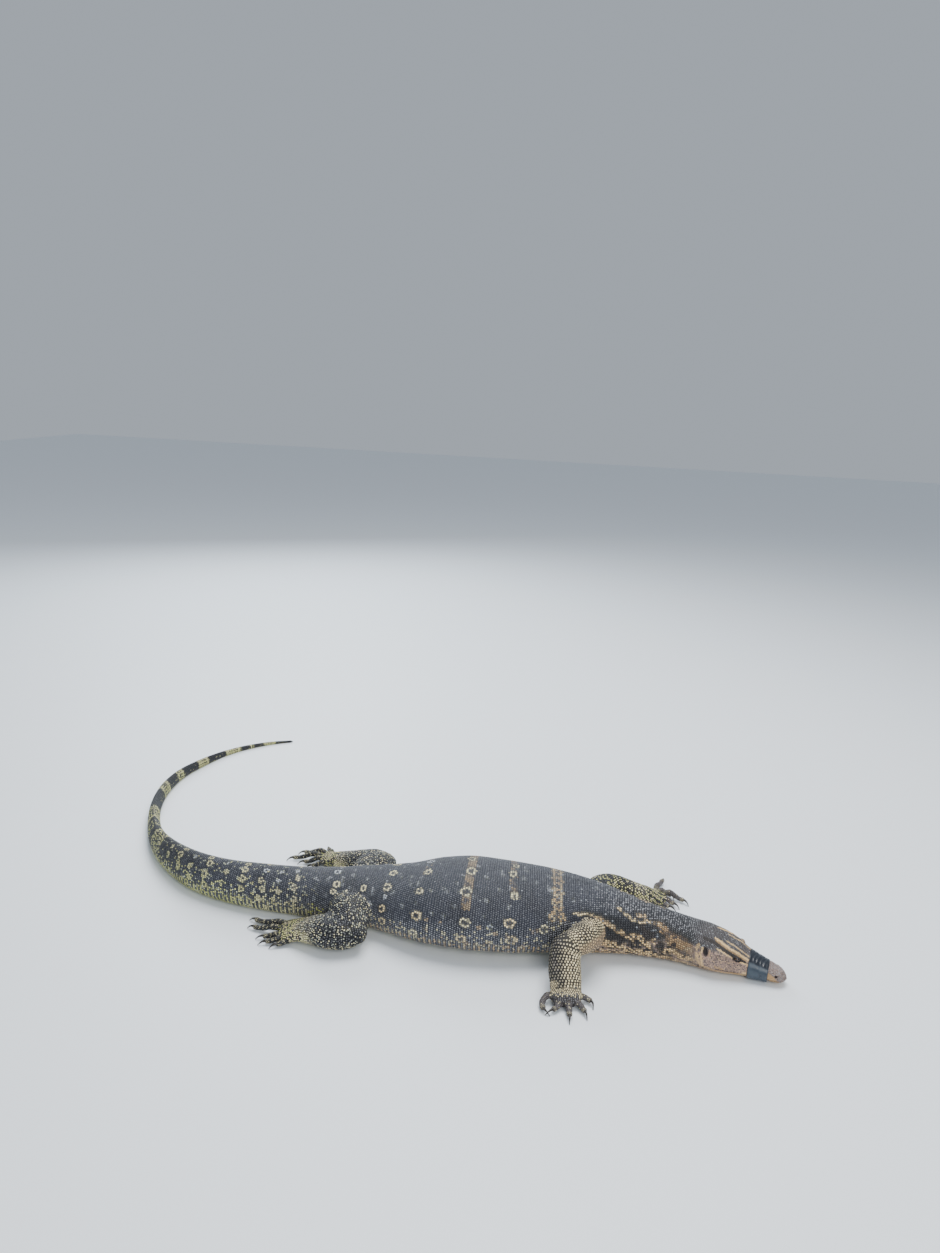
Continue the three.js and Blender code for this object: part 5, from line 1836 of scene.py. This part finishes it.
def hide_group():
    tree = bpy.data.node_groups.new("hide markings", "ShaderNodeTree")
    for name, value in HIDE_INPUTS.items():
        socket = tree.interface.new_socket(name, in_out="INPUT", socket_type="NodeSocketFloat")
        socket.default_value = value
    for name, kind in (("Color", "Color"), ("Roughness", "Float"), ("Height", "Float")):
        tree.interface.new_socket(name, in_out="OUTPUT", socket_type="NodeSocket" + kind)
    start = add_node(tree, "NodeGroupInput").outputs

    def worked(operation, a, b):
        return add_node(tree, "ShaderNodeMath", {0: a, 1: b}, operation=operation).outputs[0]

    def falling(low, high):
        """1 in the middle of a scale, falling to 0 on its rim."""
        feeds = {"Value": start["Rim"], "From Min": low, "From Max": high, "To Min": 1, "To Max": 0}
        node = add_node(tree, "ShaderNodeMapRange", feeds, interpolation_type="SMOOTHSTEP")
        return node.outputs["Result"]

    grain, cloud = noise(tree, start["Grain Size"], 3), noise(tree, CLOUD_SIZE, 4)
    # Painted highlight: the crest's grey is mixed over the ground in the middle of each scale.
    crest = worked("MULTIPLY", start["Crest"], falling(0.10, 0.85))
    pale = worked("MULTIPLY", start["Pale"], falling(start["Full To"], start["None From"]))
    ground = mixed(tree, crest, ramp(tree, start["Ground"], GROUND_SORTS), CREST_HIGHLIGHT_AND_SPECK_COLOUR)
    colour = mixed(tree, pale, ground, ramp(tree, start["Sort"], PALE_SORTS))
    toned = worked("MULTIPLY", worked("SUBTRACT", start["Tone"], 0.5), start["Spread"])
    grainy = worked("MULTIPLY", worked("SUBTRACT", grain, 0.5), 0.55)
    cloudy = worked("SUBTRACT", cloud, 0.5)
    light = worked("ADD", worked("ADD", toned, grainy), worked("MULTIPLY", cloudy, 0.7))
    feeds = {0: colour, "Scale": worked("ADD", light, 1.0)}
    shade = add_node(tree, "ShaderNodeVectorMath", feeds, operation="SCALE")
    worn = worked("ADD", worked("MULTIPLY", cloudy, 0.3), worked("MULTIPLY", grainy, 0.25))
    add_node(tree, "NodeGroupOutput", {"Color": shade.outputs["Vector"], "Height": grain,
                                       "Roughness": worked("ADD", worn, start["Gloss"])})
    return tree


hide_nodes = hide_group()
print("nodes in the group:", len(hide_nodes.nodes))

# %% Materials of the skin and the scales
def hide_material(name, spread, grain_size, gloss, depth, edge, shine=0.4, toned=True):
    material, tree, shader = new_finish(name)
    keys = ["Pale", "Sort", "Ground"] + (["Crest", "Tone", "Rim"] if toned else [])
    feeds = {key: mask_of(tree, key.lower()) for key in keys}
    feeds.update({"Spread": spread, "Full To": edge[0], "None From": edge[1],
                  "Grain Size": grain_size, "Gloss": gloss})
    hide = add_node(tree, "ShaderNodeGroup", feeds, node_tree=hide_nodes).outputs
    feed(tree, shader, {"Base Color": hide["Color"], "Roughness": hide["Roughness"],
                        "Normal": relief(tree, hide["Height"], 0.5, depth),
                        "Specular IOR Level": shine})
    return material


skin_hide = hide_material("skin_hide", 0.0, 1100, 0.62, 0.0004, (0.62, 0.96), 0.25, toned=False)
back_hide = hide_material("back_hide", 0.42, 1500, 0.46, 0.00012, (0.52, 0.90))
tail_hide = hide_material("tail_hide", 0.42, 1500, 0.44, 0.00012, (0.52, 0.90), 0.3)
bead_hide = hide_material("bead_hide", 0.45, 1500, 0.46, 0.00012, (0.44, 0.74), 0.28)
head_hide = hide_material("head_hide", 0.30, 1800, 0.50, 0.0001, (0.62, 0.96))
print("hide finishes:", [m.name for m in (skin_hide, back_hide, tail_hide, bead_hide, head_hide)])

# %% Write the markings on the skin and make it a piece
FLESH = ["head", "neck", "torso", "tail_1", "tail_2", "tail_3", "tail_4",
         "foreleg_right", "forefoot_right", "foreleg_left", "forefoot_left",
         "hindleg_right", "hindfoot_right", "hindleg_left", "hindfoot_left"]


def body_skin_marks(points):
    """Markings of the bare skin, with painted shade in the ear, the nostril and between the lips."""
    s, angle = locate_on_body(points)
    z = points[:, 2]
    marks = body_marks(s, angle, np.full(len(points), 0.5))
    hole = np.minimum(oval(s, z, EAR), oval(s, z, NOSTRIL))
    lips = bump(z, mouth_at(s), 0.8) * (s < MOUTH_CORNER)
    hole = np.maximum(fade(0.7, 1.05, hole), lips * 0.9) * (s < HEAD_END)
    # Painted shade in the ear, the nostril and along the line of the mouth.
    draw_to(marks, hole, pale=0, ground=0.38)
    marks["pale"] *= (0.55 + 0.35 * fade(110, 150, s))
    return marks


def limb_skin_marks(sweep, points):
    walk, angle = locate_on_sweep(sweep, points)
    marks = limb_marks(sweep, walk, angle, points, np.full(len(points), 0.45))
    marks["pale"] *= (0.04 + 0.45 * grow(0.22, 0.5, marks["ground"]))
    return marks


def mark_skin(mesh):
    points = vertex_array(mesh) / MM
    part_of_vertex = np.zeros(len(points), int)
    for polygon in mesh.polygons:
        for v in polygon.vertices:
            part_of_vertex[v] = polygon.material_index
    values = {key: np.zeros(len(points)) for key in ("pale", "sort", "ground")}
    for part in range(len(sweeps) + 1):
        here = np.flatnonzero(part_of_vertex == part)
        marks = (limb_skin_marks(sweeps[part - 1], points[here]) if part
                 else body_skin_marks(points[here]))
        put_back(values, here, {key: marks[key] for key in values})
    # Painted shade: the skin in the slit of an eye and on the edge of its lids is darkened.
    for sign in (1, -1):  # the skin in the slit of an eye and on the edge of its lids is dark
        dark = fade(1.15, 1.5, eye_slit(points, sign))
        draw_to(values, dark, pale=0, ground=0.3)
    for key, value in values.items():
        write_layer(mesh, key, value)


mark_skin(skin_mesh)
skin_mesh.materials.clear()
skin_mesh.materials.append(skin_hide)
skin_mesh.polygons.foreach_set("material_index", [0] * len(skin_mesh.polygons))
skin_mesh.shade_smooth()
ride_piece("skin", skin_mesh, "skin", *FLESH)
print("skin:", len(skin_mesh.polygons), "faces, replaces", len(FLESH), "nodes")

# %% Lay the whole coat
# Cuts along the body keep each piece of the coat small enough to export whole.
COAT_PIECES = [
    ["scales_head", 0, 132, head_scale, head_hide],
    ["scales_neck", 132, 262, back_scale, back_hide],
    ["scales_chest", 262, 420, back_scale, back_hide],
    ["scales_belly", 420, 560, back_scale, back_hide],
    ["scales_hips", 560, 760, back_scale, back_hide],
    ["scales_tail_base", 760, 1000, tail_scale, tail_hide],
    ["scales_tail_end", 1000, 1710, tail_scale, tail_hide],
]

for name, low, high, shape, material in COAT_PIECES:
    within = (on_body["along"] >= low) & (on_body["along"] < high)
    lay_scales(name, pick(on_body, within), shape, material, "skin")
for leg in LIMBS:
    for kind, slot in ((leg, "skin"), (leg.replace("leg", "foot"), "foot_skin")):
        batches = [on_limbs[i] for i, sweep in enumerate(sweeps) if sweep.name.startswith(kind)]
        lay_scales("scales_" + kind, gather(batches), bead_scale, bead_hide, slot)
for shape in (back_scale, tail_scale, bead_scale, head_scale):
    bpy.data.objects.remove(shape)

# %% [markdown]
# ## Eyes
# A monitor's eye is dark brown with a round pupil and a wet shine, and it is set deep under
# the brow. A plain ball would do at this size, but a bulging cornea catches the light as
# the real one does, so the ball has a raised cap, and rings from the pupil out are coloured
# by the distance from the middle of the gaze.

# %% Eyes
IRIS = [(0.0, (0.002, 0.002, 0.002)), (0.30, (0.002, 0.002, 0.002)), (0.33, (0.16, 0.07, 0.02)),
        (0.40, (0.05, 0.022, 0.01)), (0.78, (0.022, 0.012, 0.008)), (0.9, (0.01, 0.008, 0.008))]
wet_eye, eye_tree, eye_shader = new_finish("wet_eye")
feeds = {0: noise(eye_tree, 2200), 1: 0.12, 2: mask_of(eye_tree, "off_axis")}
fibres = add_node(eye_tree, "ShaderNodeMath", feeds, operation="MULTIPLY_ADD").outputs[0]
feed(eye_tree, eye_shader, {"Base Color": ramp(eye_tree, fibres, IRIS), "Roughness": 0.16,
                            "Coat Weight": 0.35, "Coat Roughness": 0.03})


def eyeball(name, sign):
    centre, _, outward = eye_centre(sign)
    turn_to_gaze = Vector((*outward, 0.12)).normalized().to_track_quat("Z", "Y").to_matrix()
    mesh = bpy.data.meshes.new(name)
    bm = bmesh.new()
    bmesh.ops.create_uvsphere(bm, u_segments=40, v_segments=28, radius=EYE["radius"] - 0.15)
    layer = bm.verts.layers.float.new("off_axis")
    for v in bm.verts:
        v[layer] = math.acos(max(-1, min(1, v.co.normalized().z)))
        cornea = 1 + 0.05 * math.exp(-(v[layer] / 0.55) ** 4)
        v.co = (turn_to_gaze @ (v.co * cornea) + Vector(centre)) * MM
    bm.to_mesh(mesh)
    bm.free()
    mesh.shade_smooth()
    mesh.materials.append(wet_eye)
    ride_piece(name, mesh, "eye", name.replace("ball_", "_"))


for side, sign in (("left", 1), ("right", -1)):
    eyeball("eyeball_" + side, sign)

# %% [markdown]
# ## Claws
# Each toe ends in a black, strongly hooked claw, deeper than it is wide, with its root in a
# sheath of skin. Cones would look like thorns, so an oval is swept along the same course
# that the solids' claws follow, thinning to a point, with a fine lengthwise grain.

# %% Claws
claw_horn, horn_tree, horn_shader = new_finish("claw_horn")
streaks = noise(horn_tree, 700, 5)
feed(horn_tree, horn_shader, {
    "Base Color": ramp(horn_tree, streaks, [(0.3, (0.012, 0.010, 0.009)),
                                            (0.7, (0.045, 0.036, 0.030))]),
    "Roughness": ramp(horn_tree, streaks, [(0.3, (0.22,) * 3), (0.7, (0.42,) * 3)])})
CLAW_SIDES, CLAW_RINGS = 14, 18


def claw_rings(stations):
    """Rings of an oval with a keen underside, from the root of a claw to its point."""
    sweep = Sweep(stations, "claw")
    t = np.linspace(0, 1, CLAW_RINGS)
    centre = course_points(stations, t)
    side, up = side_and_up(unit(np.gradient(centre, axis=0)))
    around = TURN * np.arange(CLAW_SIDES) / CLAW_SIDES
    keen = 1 - 0.25 * np.maximum(-np.sin(around), 0)
    across = sweep.across(t)[:, None] * np.cos(around) * keen
    tall = sweep.thick(t)[:, None] * np.sin(around)
    points = centre[:, None] + side[:, None] * across[..., None] + up[:, None] * tall[..., None]
    points[..., 2] = np.maximum(points[..., 2], 0.02)
    return points.reshape(-1, 3)


def claws(foot, courses):
    points, faces = [], []
    for stations in courses:
        first = CLAW_RINGS * CLAW_SIDES * len(points)
        points.append(claw_rings(stations))
        faces += tube_faces(CLAW_RINGS, CLAW_SIDES, first)
        last = first + (CLAW_RINGS - 1) * CLAW_SIDES
        faces.append(list(range(first, first + CLAW_SIDES))[::-1])
        faces.append(list(range(last, last + CLAW_SIDES)))
    mesh = solid_mesh("claws_" + foot, np.vstack(points), faces, claw_horn)
    ride_piece("claws_" + foot, mesh, "foot_skin")


for foot, courses in claw_courses.items():
    claws(foot, courses)
print("claws:", sum(len(courses) for courses in claw_courses.values()))

# %% [markdown]
# ## Tape round the snout
# A band of dark tape is wound round the snout and holds the jaws shut. It is smooth and a
# little glossy, follows the form under it and wrinkles across the top. A cloth simulation is
# not needed for so short a band: its rings follow the head's own rule, a little outside it,
# with small folds added, and its two edges turn in to the skin.

# %% Finish of the tape
dark_tape, tape_tree, tape_shader = new_finish("dark_tape")
scuffs = noise(tape_tree, 160, 6)
# The tape's sides and underside are lighter blue than its top: painted sheen on the glossy tape.
tape_blue = ramp(tape_tree, scuffs, [(0.3, (0.008, 0.011, 0.017)), (0.7, (0.016, 0.021, 0.030))])
sheen_blue = ramp(tape_tree, scuffs, [(0.3, (0.022, 0.034, 0.050)), (0.7, (0.040, 0.060, 0.082))])
feed(tape_tree, tape_shader, {
    "Base Color": mixed(tape_tree, mask_of(tape_tree, "faded"), tape_blue, sheen_blue),
    "Roughness": ramp(tape_tree, scuffs, [(0.3, (0.26,) * 3), (0.75, (0.46,) * 3)]),
    "Normal": relief(tape_tree, scuffs, 0.25, 0.0004)})
print("nodes of the tape's finish:", len(tape_tree.nodes))

# %% Tape
CANTHUS = [[20, 22.5], [45, 29.5], [60, 36]]  # the ridge from the eye to the nostril
TAPE_COLUMNS, TAPE_RINGS = 160, 48


def hull_reach(side, rise, angle):
    """Reach of a stretched band round a ring of places, in the direction of each angle."""
    ways = np.linspace(-math.pi, math.pi, 181)[:-1]
    pull = (side[:, None] * np.sin(ways) + rise[:, None] * np.cos(ways)).max(0)
    turn = np.cos(ways[None, :] - angle[:, None])
    return np.where(turn > 0.05, pull[None, :] / np.maximum(turn, 0.05), 1e9).min(1)


def tape_folds(s, way):
    """Wrinkles over the top, soft waves elsewhere, and the step of each layer."""
    top, under = grow(0.85, 0.5, np.abs(way)), grow(2.2, 2.7, np.abs(way))
    wave = s + 1.8 * np.sin(1.6 * way + 0.5) + 0.8 * np.sin(4.3 * way)
    folds = 0.45 * top * np.sin(wave * 1.25) * grow(27, 33, s)
    folds = folds + 0.12 * np.sin(wave * 0.5 + 2.2 * way) + 0.1 * under * np.sin(wave)
    return folds + 0.3 * grow(38.0, 38.6, wave) - 0.3 * grow(49.5, 50.1, wave)


def tape_ring(s, angle):
    """The outer and the inner ring of the tape at one distance from the snout."""
    side, z, middle = section_point(np.full(len(angle), s), angle)
    side = side * (1 + 0.035 * bump(z, np.interp(s, *np.array(CANTHUS).T), 2.6))
    way = np.arctan2(side, z - middle)
    reach = hull_reach(side, z - middle, way)
    from_edge = min(s - BAND["from"], BAND["to"] - s)
    proud = 0.45 + BAND["thick"] + tape_folds(s, way)
    proud = proud * grow(-0.3, 0.8, from_edge) - 0.2
    _, left = frame_at(np.array(s))
    spine = np.array([spine_x(s), spine_y(s)])
    rings = []
    for far in (reach + proud, reach - COAT - 0.8):
        plan = spine + left * (np.sin(way) * far)[:, None]
        height = np.maximum(middle + np.cos(way) * far, 0.1)
        rings.append(np.column_stack([plan, height]))
    return rings


def tape_mesh():
    angle = -math.pi + TURN * np.arange(TAPE_COLUMNS) / TAPE_COLUMNS
    pairs = [tape_ring(s, angle) for s in np.linspace(BAND["from"], BAND["to"], TAPE_RINGS)]
    rings = [outer for outer, _ in pairs] + [inner for _, inner in pairs[::-1]]
    faces = tube_faces(len(rings), TAPE_COLUMNS)
    faces += bridge((len(rings) - 1) * TAPE_COLUMNS, TAPE_COLUMNS, 0, TAPE_COLUMNS)
    mesh = solid_mesh("tape", np.vstack(rings), faces, dark_tape)
    # Painted sheen: 1 on the sides and underside of the tape, 0 on its top.
    write_layer(mesh, "faded", np.tile(grow(0.62, 0.85, np.abs(angle)), len(rings)))
    return mesh


tape = ride_piece("tape", tape_mesh(), "tape", "snout_band")
print("tape:", len(tape.data.polygons), "faces")

# %% [markdown]
# ## Floor and light
# The animal lies on a plain pale floor under soft daylight from above and from the side that
# faces the camera. A sky picture could light it, but a few large soft lamps are plainer and
# give the same gentle shine on the back that the picture shows.

# %% Floor and light
floor_mesh = mesh_of("floor", [(-6, -6, 0), (6, -6, 0), (6, 9, 0), (-6, 9, 0)], [(0, 1, 2, 3)])
floor = place_object("floor", floor_mesh)
pale_floor, floor_tree, floor_shader = new_finish("pale_floor")
feed(floor_tree, floor_shader, {"Base Color": (0.86, 0.90, 0.94, 1), "Roughness": 0.5})
floor_mesh.materials.append(pale_floor)
floor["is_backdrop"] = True

# Each row: name, place, aim, size, power, colour.
LAMPS = [
    ["lamp_above", (0.2, 0.7, 2.6), (0.0, 0.0, 0.0), 1.7, 84, (1.0, 1.0, 1.0)],
    ["lamp_window", (-1.2, 2.4, 1.5), (0.0, 0.0, 0.05), 1.4, 48, (0.86, 0.94, 1.0)],
    ["lamp_front", (1.0, -2.2, 1.8), (0.1, 0.0, 0.05), 1.5, 40, (1.0, 1.0, 0.98)],
]
for name, place, aim, size, power, colour in LAMPS:
    light = bpy.data.lights.new(name, "AREA")
    light.size, light.energy, light.color = size, power, colour
    lamp = place_object(name, light)
    lamp.location = place
    lamp.rotation_mode = "QUATERNION"
    lamp.rotation_quaternion = (Vector(aim) - Vector(place)).to_track_quat("-Z", "Y")
world = bpy.data.worlds.new("soft_sky")
world.use_nodes = True
feeds = {"Color": (0.80, 0.89, 1.0, 1), "Strength": 0.5}
feed(world.node_tree, world.node_tree.nodes["Background"], feeds)
bpy.context.scene.world = world
print("lamps:", [row[0] for row in LAMPS])

# %% Sizes and the end
low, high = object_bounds()
